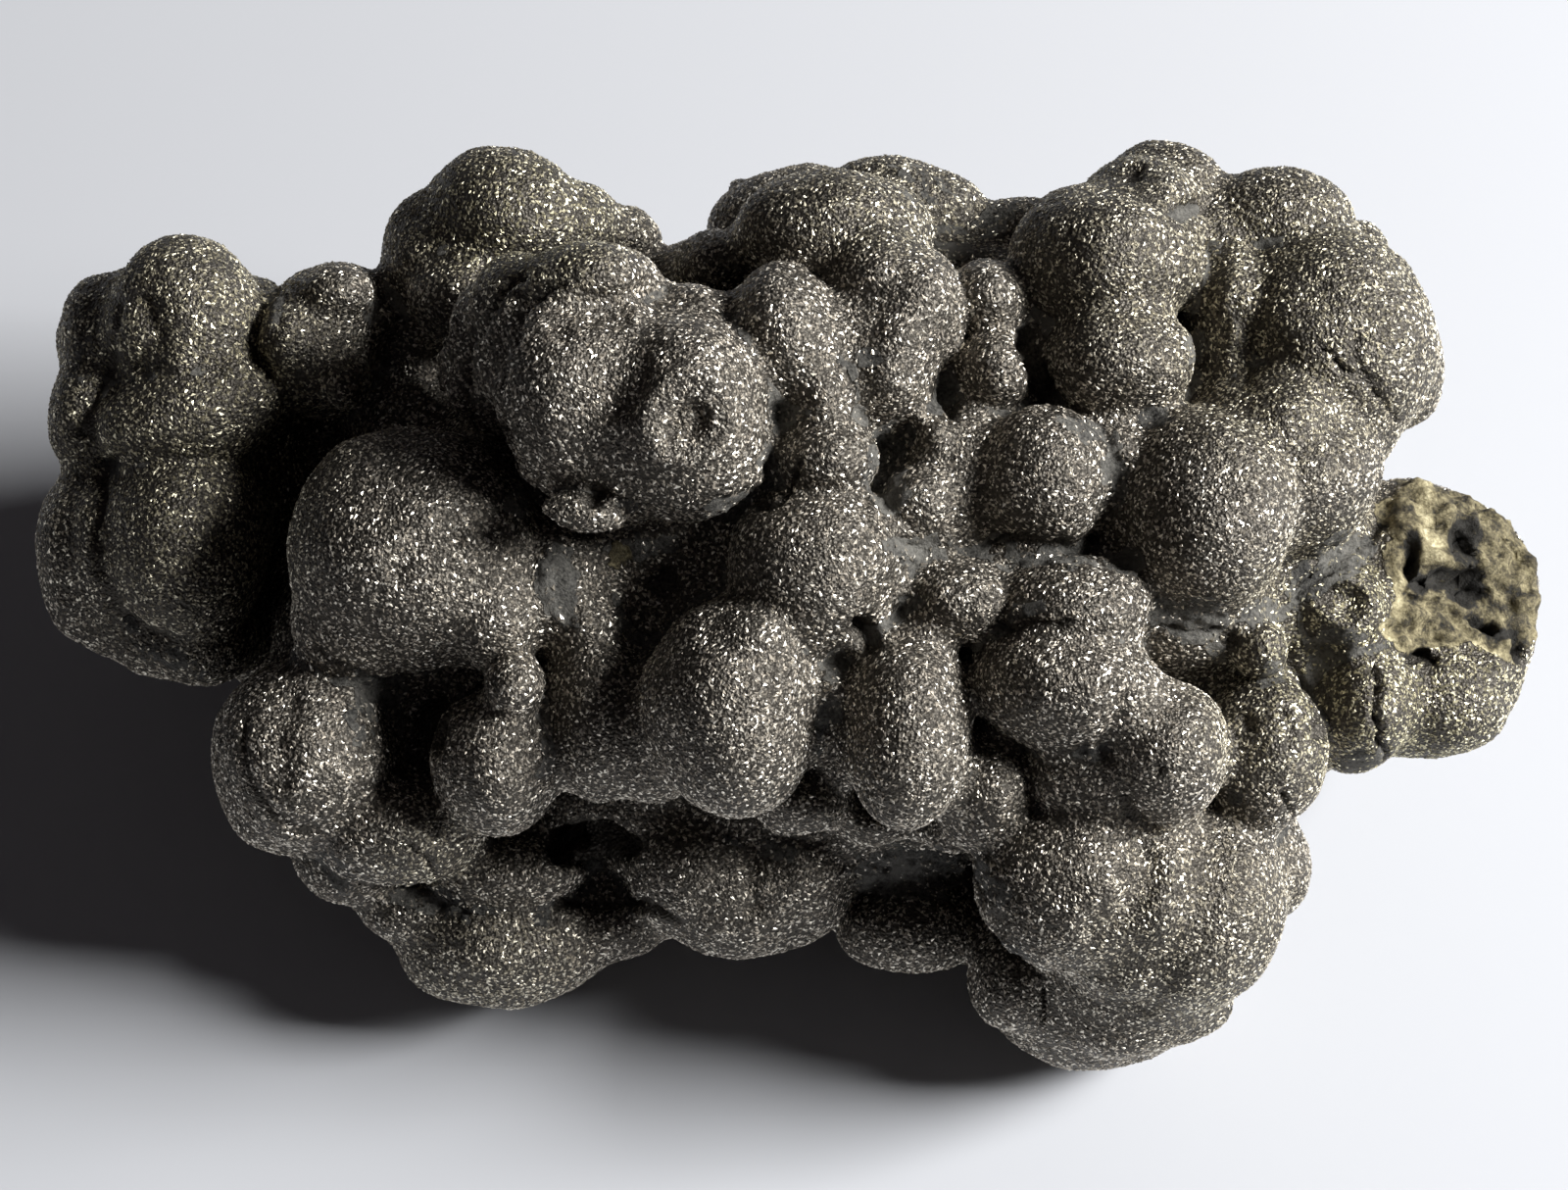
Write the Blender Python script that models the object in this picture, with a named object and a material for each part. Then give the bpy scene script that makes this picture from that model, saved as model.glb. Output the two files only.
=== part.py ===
# A nodule of botryoidal pyrite at its real size: one stone of fused round lobes, broken at one end.
# The frame is in metres with +Z up. The origin is under the middle of the nodule, on the surface it rests on.
# Lobes are set out on the nodule's show face, which leans back: across it, up it, and out from it.
import math

import bmesh
import bpy
from mathutils import Matrix, Vector, noise

MM = 0.001

# The show face looks up and forward, this far above level; its middle is this high above the resting surface
FACE_LEAN = math.radians(62.0)
MIDDLE_HEIGHT = 22.0 * MM
# How finely the lobes are fused, softened and thinned out again
VOXEL = 0.6 * MM
TRIANGLES = 9400
SPHERE_CUTS = 4
SOFTENING = 5

# Round lobes of the show face, in millimetres:
# name, across, up, out, half width, half height, half depth, turn in degrees
LEFT_CLUSTER = [
    ("left_crown", -39.7, 18.6, 2.0, 5.3, 5.7, 5.5, 0),
    ("left_flange", -45.2, 17.6, -2.0, 3.7, 4.7, 5.2, 0),
    ("left_inner", -31.2, 17.2, 0.0, 4.0, 5.0, 5.5, 0),
    ("left_ridge", -29.6, 20.5, 0.0, 2.9, 2.1, 3.5, 0),
    ("left_shelf", -39.6, 12.3, 2.5, 6.4, 3.5, 5.0, 12),
    ("left_rim", -46.2, 12.5, -1.0, 3.1, 4.3, 5.0, 0),
    ("left_belly", -39.8, 4.2, 1.0, 5.7, 6.7, 7.0, 0),
    ("left_heel", -47.0, 3.5, -2.0, 3.4, 5.9, 5.5, 0),
    ("left_sill", -40.5, -2.6, -3.0, 5.1, 3.0, 5.5, 0),
    ("left_toe", -44.4, -1.1, -3.0, 3.4, 2.8, 5.0, 0),
    ("left_root", -36.6, -2.3, -9.0, 2.8, 3.5, 6.0, 0),
    ("flange_join", -43.5, 17.7, -0.8, 2.7, 5.1, 5.4, 0),
    ("heel_join", -44.9, 3.7, -1.0, 3.4, 5.8, 6.2, 0),
]
BACK_LEFT = [
    ("back_left", -18.8, 25.3, 0.0, 5.6, 4.6, 7.0, 0),
    ("back_left_side", -14.8, 24.7, -1.5, 4.1, 3.6, 5.5, 0),
    ("back_left_knob", -10.9, 24.5, -4.0, 2.2, 2.3, 4.0, 0),
    ("back_left_step", -21.3, 20.4, 1.0, 4.0, 3.2, 6.0, 0),
    ("back_left_low", -23.1, 23.2, -1.5, 4.2, 4.4, 6.0, 0),
    ("back_left_flank", -25.2, 18.6, -5.0, 3.2, 5.2, 6.0, 0),
]
CROWN = [
    ("crown_base", -9.6, 12.3, 14.0, 7.9, 7.2, 8.8, 0),
    ("crown_left", -13.1, 13.1, 15.0, 4.9, 6.7, 7.5, 6),
    ("crown_right", -6.7, 11.7, 16.5, 5.5, 6.6, 7.5, 0),
    ("crown_cap", -12.4, 19.9, 14.0, 4.6, 2.7, 6.0, 4),
    ("crown_shoulder", -6.0, 18.4, 13.0, 2.6, 1.9, 4.0, 0),
    ("crown_shell_outer", -18.6, 15.5, 9.0, 3.3, 5.2, 5.0, 10),
    ("crown_shell_inner", -16.4, 16.8, 12.0, 3.5, 5.2, 5.5, 10),
    ("crown_flake", -12.5, 5.9, 15.5, 2.6, 0.9, 2.0, -8),
]
BACK_MIDDLE = [
    ("finger", -0.1, 16.5, 13.5, 3.6, 5.2, 5.5, 14),
    ("back_crest", 2.9, 23.6, 6.0, 6.8, 4.5, 7.0, 0),
    ("back_tip", -4.9, 21.9, 3.0, 2.7, 2.7, 5.0, 0),
    ("back_cheek", 7.8, 18.4, 10.5, 3.3, 4.3, 5.5, 0),
    ("back_chin", 6.1, 14.1, 12.0, 3.2, 3.2, 5.5, 0),
    ("back_far", 8.0, 26.3, -3.0, 5.5, 3.7, 5.0, -12),
    ("back_far_left", 0.1, 26.3, -6.0, 5.4, 3.6, 5.0, 8),
    ("back_ridge", 15.8, 24.9, -2.5, 4.3, 2.1, 3.5, 0),
    ("neck_upper", 12.9, 19.5, 9.0, 2.4, 2.4, 4.0, 0),
    ("neck_lower", 13.1, 14.9, 11.0, 2.4, 2.4, 4.0, 0),
    ("back_join", 5.6, 20.5, 8.5, 3.8, 3.9, 7.0, 0),
    ("chin_join", 6.9, 16.2, 11.5, 2.8, 3.1, 5.5, 0),
    ("finger_low", 2.1, 13.0, 13.5, 2.7, 2.8, 5.0, 0),
]
BACK_RIGHT = [
    ("right_back", 20.6, 22.0, 7.0, 6.2, 5.1, 7.0, 0),
    ("right_back_top", 25.0, 27.3, 0.5, 4.1, 3.2, 4.5, 0),
    ("right_back_front", 21.4, 15.6, 9.5, 4.8, 3.9, 5.5, 0),
    ("far_right_back", 32.3, 25.2, 1.5, 5.0, 3.6, 5.5, 0),
    ("far_right", 35.1, 17.1, 3.5, 7.2, 7.6, 8.5, 0),
    ("far_right_side", 40.0, 16.6, 1.0, 3.3, 5.0, 5.0, 0),
    ("far_right_bump", 38.0, 22.8, -2.0, 2.1, 2.6, 4.0, 0),
    ("right_front", 26.4, 5.9, 11.0, 5.6, 6.8, 7.5, 0),
    ("right_front_side", 32.7, 8.2, 7.5, 5.6, 4.8, 6.5, 0),
    ("button", 16.1, 7.8, 12.5, 4.3, 4.4, 5.5, 0),
    ("right_back_join", 23.2, 25.3, 3.5, 4.0, 3.7, 7.0, 0),
    ("far_right_join", 30.9, 11.2, 6.0, 5.2, 4.6, 8.0, 0),
    ("far_right_valley", 28.7, 18.1, 3.0, 2.7, 5.9, 7.0, 0),
    ("far_right_low", 36.5, 11.9, 2.6, 3.6, 4.0, 6.2, 0),
    ("button_side", 21.3, 6.0, 8.5, 2.1, 4.9, 5.2, 0),
]
CENTRE = [
    ("centre_small", 2.5, 9.1, 15.5, 3.1, 2.6, 4.0, 0),
    ("centre_dome", 1.9, 2.2, 14.0, 5.6, 5.6, 7.0, 0),
    ("egg_left", -3.5, -6.4, 14.0, 5.6, 6.9, 8.0, 0),
    ("egg_right", 7.4, -7.7, 14.0, 4.1, 6.8, 6.5, 0),
    ("egg_right_top", 10.6, 0.2, 13.5, 3.5, 2.7, 5.0, 0),
    ("saddle", 17.9, -0.4, 13.0, 5.1, 3.5, 6.0, 0),
    ("boss", 17.8, -5.3, 13.5, 6.5, 4.2, 7.0, -10),
    ("boss_right", 23.3, -9.4, 12.3, 4.6, 4.7, 6.8, 0),
    ("boss_left", 14.5, -4.6, 12.0, 3.2, 3.6, 6.0, 0),
    ("boss_foot", 12.5, -11.7, 9.5, 3.5, 4.0, 5.0, 0),
    ("drip", 1.0, -12.8, 8.5, 3.3, 2.1, 4.5, 0),
    ("drip_middle", 5.7, -14.2, 6.0, 2.8, 1.7, 4.0, 0),
    ("drip_right", 10.3, -14.8, 5.5, 2.2, 1.3, 3.5, 0),
    ("right_low", 30.8, -9.7, 6.5, 4.1, 5.2, 6.5, 0),
    ("boss_low", 20.4, -10.5, 10.5, 5.4, 3.9, 6.5, 0),
    ("dome_to_egg", -2.2, -2.4, 13.0, 3.6, 3.2, 8.0, 0),
]
LOWER_RIGHT = [
    ("low_right_left", 18.3, -17.9, 8.5, 6.3, 5.7, 7.5, 0),
    ("low_right_main", 26.4, -19.5, 4.5, 6.0, 7.3, 8.5, -15.0),
    ("low_right_front", 23.0, -23.8, 2.0, 7.3, 4.5, 6.5, 0),
    ("low_right_under", 22.1, -26.6, -0.5, 7.6, 3.5, 6.0, 0),
    ("low_right_corner", 15.1, -25.0, 0.0, 3.1, 3.5, 4.5, 0),
    ("low_right_edge", 31.6, -17.1, 1.0, 2.9, 3.9, 5.0, 0),
    ("low_right_join", 22.9, -18.3, 6.5, 4.6, 5.6, 8.0, 0),
    ("low_right_blend", 22.1, -21.9, 4.8, 5.8, 4.0, 7.0, 0),
]
LOWER_FRONT = [
    ("foot_right", 8.3, -21.6, -3.0, 5.0, 3.2, 5.0, 0),
    ("foot_middle", -3.2, -18.5, -1.5, 7.5, 4.9, 7.5, 0),
    ("foot_middle_left", -6.5, -17.3, 0.5, 4.2, 4.6, 6.0, 0),
    ("foot_middle_right", 0.7, -17.8, 0.0, 3.7, 4.2, 6.0, 0),
    ("foot_left", -19.3, -22.4, -4.0, 7.6, 4.8, 7.0, 0),
    ("foot_left_side", -12.1, -21.6, -4.0, 4.3, 2.7, 4.5, 0),
    ("foot_left_top", -18.8, -17.7, 0.0, 5.2, 2.7, 4.5, 0),
    ("foot_left_back", -25.0, -20.4, -2.5, 4.0, 2.9, 4.5, 0),
]
LEFT_MIDDLE = [
    ("cheek", -23.8, 3.5, 9.5, 8.1, 7.7, 8.5, 0),
    ("cheek_low_left", -27.2, -0.9, 7.0, 5.1, 4.5, 7.0, 0),
    ("cheek_low_right", -19.0, -0.4, 10.5, 3.6, 3.8, 5.5, 0),
    ("hip", -31.0, -9.4, 5.2, 6.0, 6.3, 8.3, 0),
    ("hip_rim", -33.6, -10.1, 1.0, 4.2, 5.9, 6.5, 0),
    ("knee", -25.3, -14.5, 4.4, 5.8, 3.8, 6.4, 0),
    ("knee_skirt", -28.9, -17.0, 0.0, 3.9, 3.0, 4.5, 0),
    ("thumb", -18.5, -10.1, 9.5, 4.2, 4.8, 6.5, 0),
    ("thumb_knob", -17.2, -5.2, 12.5, 1.7, 2.1, 4.0, 0),
    ("pocket_knob", -12.8, -1.5, 10.0, 2.4, 2.3, 4.0, 0),
    ("slope", -12.0, -6.7, 8.0, 3.9, 6.1, 7.0, 0),
    ("slope_right", -8.6, -7.7, 8.0, 3.9, 5.3, 7.5, 0),
    ("hip_blend", -32.4, -9.8, 3.2, 5.1, 6.2, 7.4, 0),
]
BROKEN_END = [
    ("broken_core", 42.6, -0.9, -5.0, 8.2, 9.4, 9.0, 0),
    ("broken_druse", 36.2, -0.4, 3.0, 3.6, 3.3, 5.0, 0),
    ("broken_druse_low", 37.7, -6.5, 1.0, 3.9, 4.5, 7.0, 0),
    ("broken_low", 42.9, -6.1, -2.5, 5.1, 4.4, 6.0, 0),
]
SMALL_KNOBS = [
    ("notch_knob", -26.7, 18.7, 1.0, 1.0, 1.0, 1.8, 0),
    ("crown_pip", -39.5, 15.7, 6.0, 0.9, 0.9, 1.2, 0),
    ("shelf_pip", -36.2, 15.1, 5.0, 0.9, 0.9, 1.3, 0),
    ("cleft_knob", 9.2, 10.7, 13.9, 1.2, 1.2, 1.8, 0),
    ("small_button", 8.5, 6.3, 13.2, 2.5, 2.7, 3.8, 0),
    ("corner_knob", 20.9, 9.6, 12.6, 1.2, 1.2, 2.2, 0),
    ("clay_knob", 30.0, -2.7, 9.6, 1.7, 1.7, 2.4, 0),
    ("egg_pip", 2.6, -5.1, 15.6, 0.9, 0.9, 1.6, 0),
    ("back_nub", -3.2, 28.6, -8.0, 0.9, 0.7, 1.3, 0),
    ("ridge_nub", 18.7, 27.0, -5.0, 1.2, 1.2, 1.6, 0),
]
# The solid stone that the lobes grow on
STONE = [
    ("stone_left_end", -40.6, 9.8, -8.0, 8.7, 12.0, 10.0, 0),
    ("stone_middle", -0.3, 3.7, -3.0, 29.0, 15.8, 16.0, 0),
    ("stone_left", -22.0, -2.9, -3.0, 12.5, 12.0, 11.0, 0),
    ("stone_right", 24.9, 3.7, -4.0, 14.6, 18.0, 13.0, 0),
    ("stone_back", 6.4, 19.0, -5.0, 19.9, 7.0, 11.0, 0),
    ("stone_low", 1.1, -12.1, -3.0, 21.7, 7.2, 9.0, 0),
    ("matrix_centre", 9.0, 9.3, 6.0, 5.0, 7.3, 7.0, 0),
    ("matrix_right", 25.2, 0.4, 6.0, 5.7, 5.1, 7.0, 0),
    ("matrix_left", -14.5, 1.0, 7.0, 4.4, 5.1, 7.0, 0),
    ("matrix_hip", -28.7, -7.0, 2.0, 3.9, 3.2, 7.0, 0),
    ("gully_floor", -32.4, 9.3, -12.0, 6.5, 11.6, 8.0, 0),
    ("hollow_floor", -13.0, -17.7, -8.0, 5.4, 4.0, 7.0, 0),
    ("matrix_back_right", 28.0, 22.3, -1.0, 2.9, 6.2, 7.5, 0),
    ("matrix_back", 15.8, 14.9, 3.0, 4.8, 7.1, 7.0, 0),
    ("matrix_eggs", 3.0, -6.2, 8.0, 2.8, 6.3, 7.0, 0),
    ("matrix_low_right", 24.6, -17.8, 5.0, 3.8, 6.4, 8.0, 0),
    ("matrix_upper", 4.2, 15.0, 8.5, 5.5, 6.0, 8.0, 0),
    ("matrix_gully", 10.6, 7.6, 8.0, 4.4, 6.0, 7.5, 0),
    ("matrix_broad", 8.5, 7.5, -1.0, 17.0, 12.5, 13.0, 0),
    ("matrix_finger", -1.0, 9.2, 9.0, 3.2, 4.8, 7.0, 0),
    ("matrix_corner", 20.5, 10.0, 6.0, 4.0, 4.2, 7.0, 0),
    ("matrix_saddle", 14.8, 2.8, 8.0, 5.5, 2.8, 6.0, 0),
    ("matrix_dome", 8.8, 2.6, 9.0, 2.7, 2.7, 6.3, 0),
    ("gully_floor_right", -25.0, 11.5, -7.0, 5.5, 7.0, 9.0, 0),
]
# Lobes of the hidden back and underside, in millimetres in the nodule's own frame:
# name, x, y, z, half size along x, y and z
BACK_AND_UNDER = [
    ("under_left", -25.0, 1.0, 7.2, 9.5, 8.5, 8.3),
    ("under_middle", -6.0, -5.0, 8.6, 11.0, 9.0, 9.2),
    ("under_right", 17.0, -8.0, 7.6, 10.0, 10.0, 8.4),
    ("under_far_right", 34.0, 2.0, 10.6, 8.0, 9.0, 9.5),
    ("under_back_left", -17.0, 13.0, 9.4, 8.0, 8.5, 9.6),
    ("under_back", 2.0, 12.0, 8.2, 11.0, 9.0, 8.8),
    ("under_back_right", 21.0, 13.0, 9.0, 9.5, 8.0, 9.6),
    ("low_right_base", 21.0, -19.0, 8.0, 8.5, 8.0, 8.5),
    ("under_small_left", -14.5, 3.0, 5.4, 4.5, 5.5, 5.2),
    ("under_small_middle", 8.0, 2.5, 6.0, 5.0, 6.0, 6.3),
    ("under_small_right", 27.5, -4.5, 6.6, 5.0, 5.5, 6.4),
    ("under_small_back", -31.0, 9.5, 7.4, 5.5, 5.5, 6.8),
    ("back_wall_left_end", -38.0, 17.0, 22.0, 7.5, 7.0, 9.0),
    ("back_wall_left_low", -33.0, 13.0, 12.0, 7.0, 7.0, 8.0),
    ("back_wall_left", -20.0, 20.0, 22.0, 8.0, 7.0, 9.0),
    ("back_wall_middle_left", -8.0, 16.0, 19.0, 8.5, 7.5, 9.0),
    ("back_wall_middle", 5.0, 21.5, 21.0, 8.0, 7.0, 10.0),
    ("back_wall_right", 20.0, 21.0, 21.0, 8.5, 7.0, 10.0),
    ("back_wall_far_right", 33.0, 18.5, 22.0, 8.0, 8.0, 10.0),
    ("back_low_left", -12.0, 20.0, 13.0, 6.5, 6.0, 7.0),
    ("back_low_middle", 13.0, 20.0, 13.0, 7.0, 6.0, 7.5),
    ("back_low_right", 30.0, 14.0, 12.0, 6.5, 6.5, 7.0),
    ("right_wall", 34.0, 12.0, 18.0, 6.5, 7.0, 8.0),
]
# The plane that the end lobe broke along: a point on it and its outward direction, on the show face
BREAK_POINT = (44.5, 0.5, 1.5)
BREAK_DIRECTION = (0.42, 0.10, 0.90)
# The break starts this far across, ends this far up and down, and fades in over this width, in millimetres
BREAK_ACROSS = 38.0
BREAK_TOP = 9.0
BREAK_BOTTOM = -5.5
BREAK_FEATHER = 3.5
# Size and height of the crumbly lumps of the break
BREAK_LUMP = 3.0
BREAK_ROUGHNESS = 0.8
# Uneven growth that keeps the lobes from being perfect eggs: wave length and height in millimetres
UNEVEN_GROWTH = [(7.0, 0.55), (2.6, 0.16)]
# Round hollows in the show face: name, across, up, out, radius, depth, height of the raised rim
HOLLOWS = [
    ("crown_crater", -5.4, 11.2, 24.0, 2.1, 1.3, 0.25),
    ("break_cavity_upper", 45.0, 2.5, 2.0, 1.7, 1.6, 0.0),
    ("break_cavity_left", 41.0, 2.8, 4.0, 1.4, 1.5, 0.0),
    ("break_cavity_low", 42.0, -3.3, 3.0, 1.8, 1.2, 0.0),
    ("druse_pit", 36.2, 0.1, 7.5, 1.8, 1.5, 0.2),
]
# Shift that puts the middle of the finished nodule over the origin, in millimetres along x and y
MIDDLE_SHIFT = (0.0, -1.3)
# Side of the block that cuts the base level
CUTTER_SIZE = 200.0 * MM

STONE_COLOUR = (0.17, 0.155, 0.125, 1.0)


def face_axes():
    """Return the show face's across, up and out directions as columns."""
    across = Vector((1.0, 0.0, 0.0))
    up = Vector((0.0, math.sin(FACE_LEAN), math.cos(FACE_LEAN)))
    out = Vector((0.0, -math.cos(FACE_LEAN), math.sin(FACE_LEAN)))
    return Matrix((across, up, out)).transposed()


def on_face(across, up, out):
    """Return the place of a point of the show face, given in millimetres."""
    return face_axes() @ (Vector((across, up, out)) * MM) + Vector((0.0, 0.0, MIDDLE_HEIGHT))


def add_lobe(bm, centre, axes, half_sizes):
    """Add one egg-shaped lobe to the bmesh."""
    shape = Matrix.Diagonal(Vector(half_sizes) * MM).to_4x4()
    placed = Matrix.Translation(centre) @ axes.to_4x4() @ shape
    bmesh.ops.create_icosphere(bm, subdivisions=SPHERE_CUTS, radius=1.0, matrix=placed)


def add_face_lobes(bm, lobes):
    for _name, across, up, out, half_width, half_height, half_depth, turn in lobes:
        spin = Matrix.Rotation(math.radians(turn), 3, "Z")
        add_lobe(bm, on_face(across, up, out), face_axes() @ spin, (half_width, half_height, half_depth))


def add_hidden_lobes(bm):
    for _name, x, y, z, half_x, half_y, half_z in BACK_AND_UNDER:
        add_lobe(bm, Vector((x, y, z)) * MM, Matrix.Identity(3), (half_x, half_y, half_z))


def evaluated_copy(thing):
    """Return a new mesh that holds the object's shape with its modifiers applied."""
    depsgraph = bpy.context.evaluated_depsgraph_get()
    return bpy.data.meshes.new_from_object(thing.evaluated_get(depsgraph))


def apply_modifiers(thing):
    shaped = evaluated_copy(thing)
    thing.modifiers.clear()
    thing.data = shaped


def fuse(thing):
    """Join the overlapping lobes into one closed skin and soften its creases a little."""
    remesh = thing.modifiers.new("fuse", "REMESH")
    remesh.mode = "VOXEL"
    remesh.voxel_size = VOXEL
    smooth = thing.modifiers.new("soften", "SMOOTH")
    smooth.factor = 0.5
    smooth.iterations = SOFTENING
    apply_modifiers(thing)


def face_reading(point):
    """Return a place as millimetres across, up and out on the show face."""
    return face_axes().transposed() @ (point - Vector((0.0, 0.0, MIDDLE_HEIGHT))) / MM


def grow_unevenly(thing):
    """Swell and shrink the skin a little, as the lobes did not grow evenly."""
    moves = []
    for vertex in thing.data.vertices:
        swell = sum(height * noise.noise(vertex.co / (length * MM)) for length, height in UNEVEN_GROWTH)
        moves.append(vertex.normal * swell * MM)
    for vertex, move in zip(thing.data.vertices, moves):
        vertex.co += move


def press_hollows(thing):
    """Press each round hollow into the show face and raise its rim."""
    inward = -face_axes().col[2]
    for _name, across, up, out, radius, depth, rim in HOLLOWS:
        middle = on_face(across, up, out)
        for vertex in thing.data.vertices:
            away = (vertex.co - middle).length / (radius * MM)
            if away < 1.0:
                vertex.co += inward * (depth * MM) * (1.0 - away ** 2) ** 2
            elif away < 2.0:
                vertex.co -= inward * (rim * MM) * math.sin((away - 1.0) * math.pi) ** 2


def fade(distance):
    """Return 0 before the edge of the break, 1 well inside it, and a soft step between."""
    share = min(1.0, max(0.0, distance / BREAK_FEATHER))
    return share * share * (3.0 - 2.0 * share)


def break_end(thing):
    """Flatten the end lobe to the rough plane that it broke along."""
    point = on_face(*BREAK_POINT)
    direction = (face_axes() @ Vector(BREAK_DIRECTION)).normalized()
    for vertex in thing.data.vertices:
        across, up, _out = face_reading(vertex.co)
        height = (vertex.co - point).dot(direction)
        if height <= 0.0:
            continue
        share = fade(across - BREAK_ACROSS) * fade(BREAK_TOP - up) * fade(up - BREAK_BOTTOM)
        lump = noise.fractal(vertex.co / (BREAK_LUMP * MM), 1.0, 2.0, 3)
        vertex.co -= direction * (height - lump * BREAK_ROUGHNESS * MM) * share


def drop_crumbs(thing):
    """Keep the nodule itself and drop any loose crumb that the fusing left beside it."""
    bm = bmesh.new()
    bm.from_mesh(thing.data)
    unseen = set(bm.verts)
    pieces = []
    while unseen:
        edge_of_piece = [unseen.pop()]
        piece = list(edge_of_piece)
        while edge_of_piece:
            vertex = edge_of_piece.pop()
            near = [edge.other_vert(vertex) for edge in vertex.link_edges]
            fresh = [other for other in near if other in unseen]
            unseen.difference_update(fresh)
            edge_of_piece += fresh
            piece += fresh
        pieces.append(piece)
    pieces.sort(key=len)
    crumbs = [vertex for piece in pieces[:-1] for vertex in piece]
    bmesh.ops.delete(bm, geom=crumbs, context="VERTS")
    bm.to_mesh(thing.data)
    bm.free()


def thin_out(thing):
    """Reduce the skin to the number of triangles a faceted solid can carry."""
    triangles = sum(len(polygon.vertices) - 2 for polygon in thing.data.polygons)
    decimate = thing.modifiers.new("thin_out", "DECIMATE")
    decimate.ratio = TRIANGLES / triangles
    apply_modifiers(thing)


def flatten_base(thing):
    """Cut the lowest lobes level where the nodule rests."""
    bm = bmesh.new()
    bmesh.ops.create_cube(bm, size=CUTTER_SIZE, matrix=Matrix.Translation((0.0, 0.0, -CUTTER_SIZE / 2.0)))
    mesh = bpy.data.meshes.new("base_cutter")
    bm.to_mesh(mesh)
    bm.free()
    cutter = bpy.data.objects.new("base_cutter", mesh)
    bpy.context.scene.collection.objects.link(cutter)
    cutter.hide_render = True
    cutter.display_type = "WIRE"
    cut = thing.modifiers.new("flat_base", "BOOLEAN")
    cut.object = cutter
    cut.operation = "DIFFERENCE"
    cut.solver = "EXACT"


def stone_material():
    material = bpy.data.materials.new("pyrite")
    material.use_nodes = True
    shader = material.node_tree.nodes["Principled BSDF"]
    shader.inputs["Base Color"].default_value = STONE_COLOUR
    shader.inputs["Metallic"].default_value = 0.7
    shader.inputs["Roughness"].default_value = 0.45
    return material


def build_nodule():
    bm = bmesh.new()
    groups = [LEFT_CLUSTER, BACK_LEFT, CROWN, BACK_MIDDLE, BACK_RIGHT, CENTRE]
    groups += [LOWER_RIGHT, LOWER_FRONT, LEFT_MIDDLE, BROKEN_END, SMALL_KNOBS, STONE]
    for lobes in groups:
        add_face_lobes(bm, lobes)
    add_hidden_lobes(bm)
    mesh = bpy.data.meshes.new("pyrite")
    bm.to_mesh(mesh)
    bm.free()
    nodule = bpy.data.objects.new("pyrite", mesh)
    bpy.context.scene.collection.objects.link(nodule)
    fuse(nodule)
    grow_unevenly(nodule)
    press_hollows(nodule)
    break_end(nodule)
    thin_out(nodule)
    drop_crumbs(nodule)
    nodule.data.transform(Matrix.Translation((MIDDLE_SHIFT[0] * MM, MIDDLE_SHIFT[1] * MM, 0.0)))
    flatten_base(nodule)
    nodule.data.materials.clear()
    nodule.data.materials.append(stone_material())
    return nodule


def main():
    for thing in list(bpy.data.objects):
        bpy.data.objects.remove(thing)
    build_nodule()


main()
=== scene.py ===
# A nodule of botryoidal pyrite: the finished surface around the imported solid.
# Places are set out on the nodule's show face, in millimetres: across it, up it, and out from it.
import math
from functools import partial

import bmesh
import bpy
import numpy as np
from mathutils import Matrix, Vector, noise
from mathutils.bvhtree import BVHTree


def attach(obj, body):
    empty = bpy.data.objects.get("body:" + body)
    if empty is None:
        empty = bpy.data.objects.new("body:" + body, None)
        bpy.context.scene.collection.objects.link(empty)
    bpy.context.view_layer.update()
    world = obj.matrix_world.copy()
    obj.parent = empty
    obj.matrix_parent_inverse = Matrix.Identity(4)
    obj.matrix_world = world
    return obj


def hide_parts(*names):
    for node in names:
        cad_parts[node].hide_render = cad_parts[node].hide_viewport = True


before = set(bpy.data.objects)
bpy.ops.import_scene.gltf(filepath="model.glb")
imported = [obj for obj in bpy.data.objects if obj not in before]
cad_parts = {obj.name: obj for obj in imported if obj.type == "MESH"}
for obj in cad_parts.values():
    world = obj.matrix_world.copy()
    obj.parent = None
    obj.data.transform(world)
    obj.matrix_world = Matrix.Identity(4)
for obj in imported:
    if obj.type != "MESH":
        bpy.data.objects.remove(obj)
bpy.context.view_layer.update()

MM = 0.001

# The show face looks up and forward, this far above level; its middle is this high above the floor
FACE_LEAN = math.radians(62.0)
MIDDLE_HEIGHT = 22.0 * MM
# Shift that puts the middle of the finished nodule over the origin, in millimetres along x and y
MIDDLE_SHIFT = (0.0, -1.3)
# How finely the lobes are fused and softened, and how many triangles are kept
VOXEL = 0.32 * MM
SPHERE_CUTS = 4
SOFTENING = 5
BODY_TRIANGLES = 194000
# What lies lower than this rests on the floor
RESTING_HEIGHT = 0.4 * MM
# The skin counts as seen when nothing stands between the eye and this far in front of it
SIGHT_GAP = 0.35 * MM
# and when it faces the eye by more than this; rounds that soften the border of what is seen
EDGE_ON = 0.05
SEEN_BORDER = 3
# Shares of a form and of a clay film below these are left alone
TRACE = 0.01
FILM_TRACE = 0.02

# The picture that the nodule is matched to: its size, its scale at the nodule's middle, and that middle
PICTURE_WIDTH = 1600
PICTURE_HEIGHT = 1214
PIXELS_PER_MM = 15.35
PICTURE_MIDDLE = (804.0, 616.0)
EYE_DISTANCE = 250.0

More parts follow.
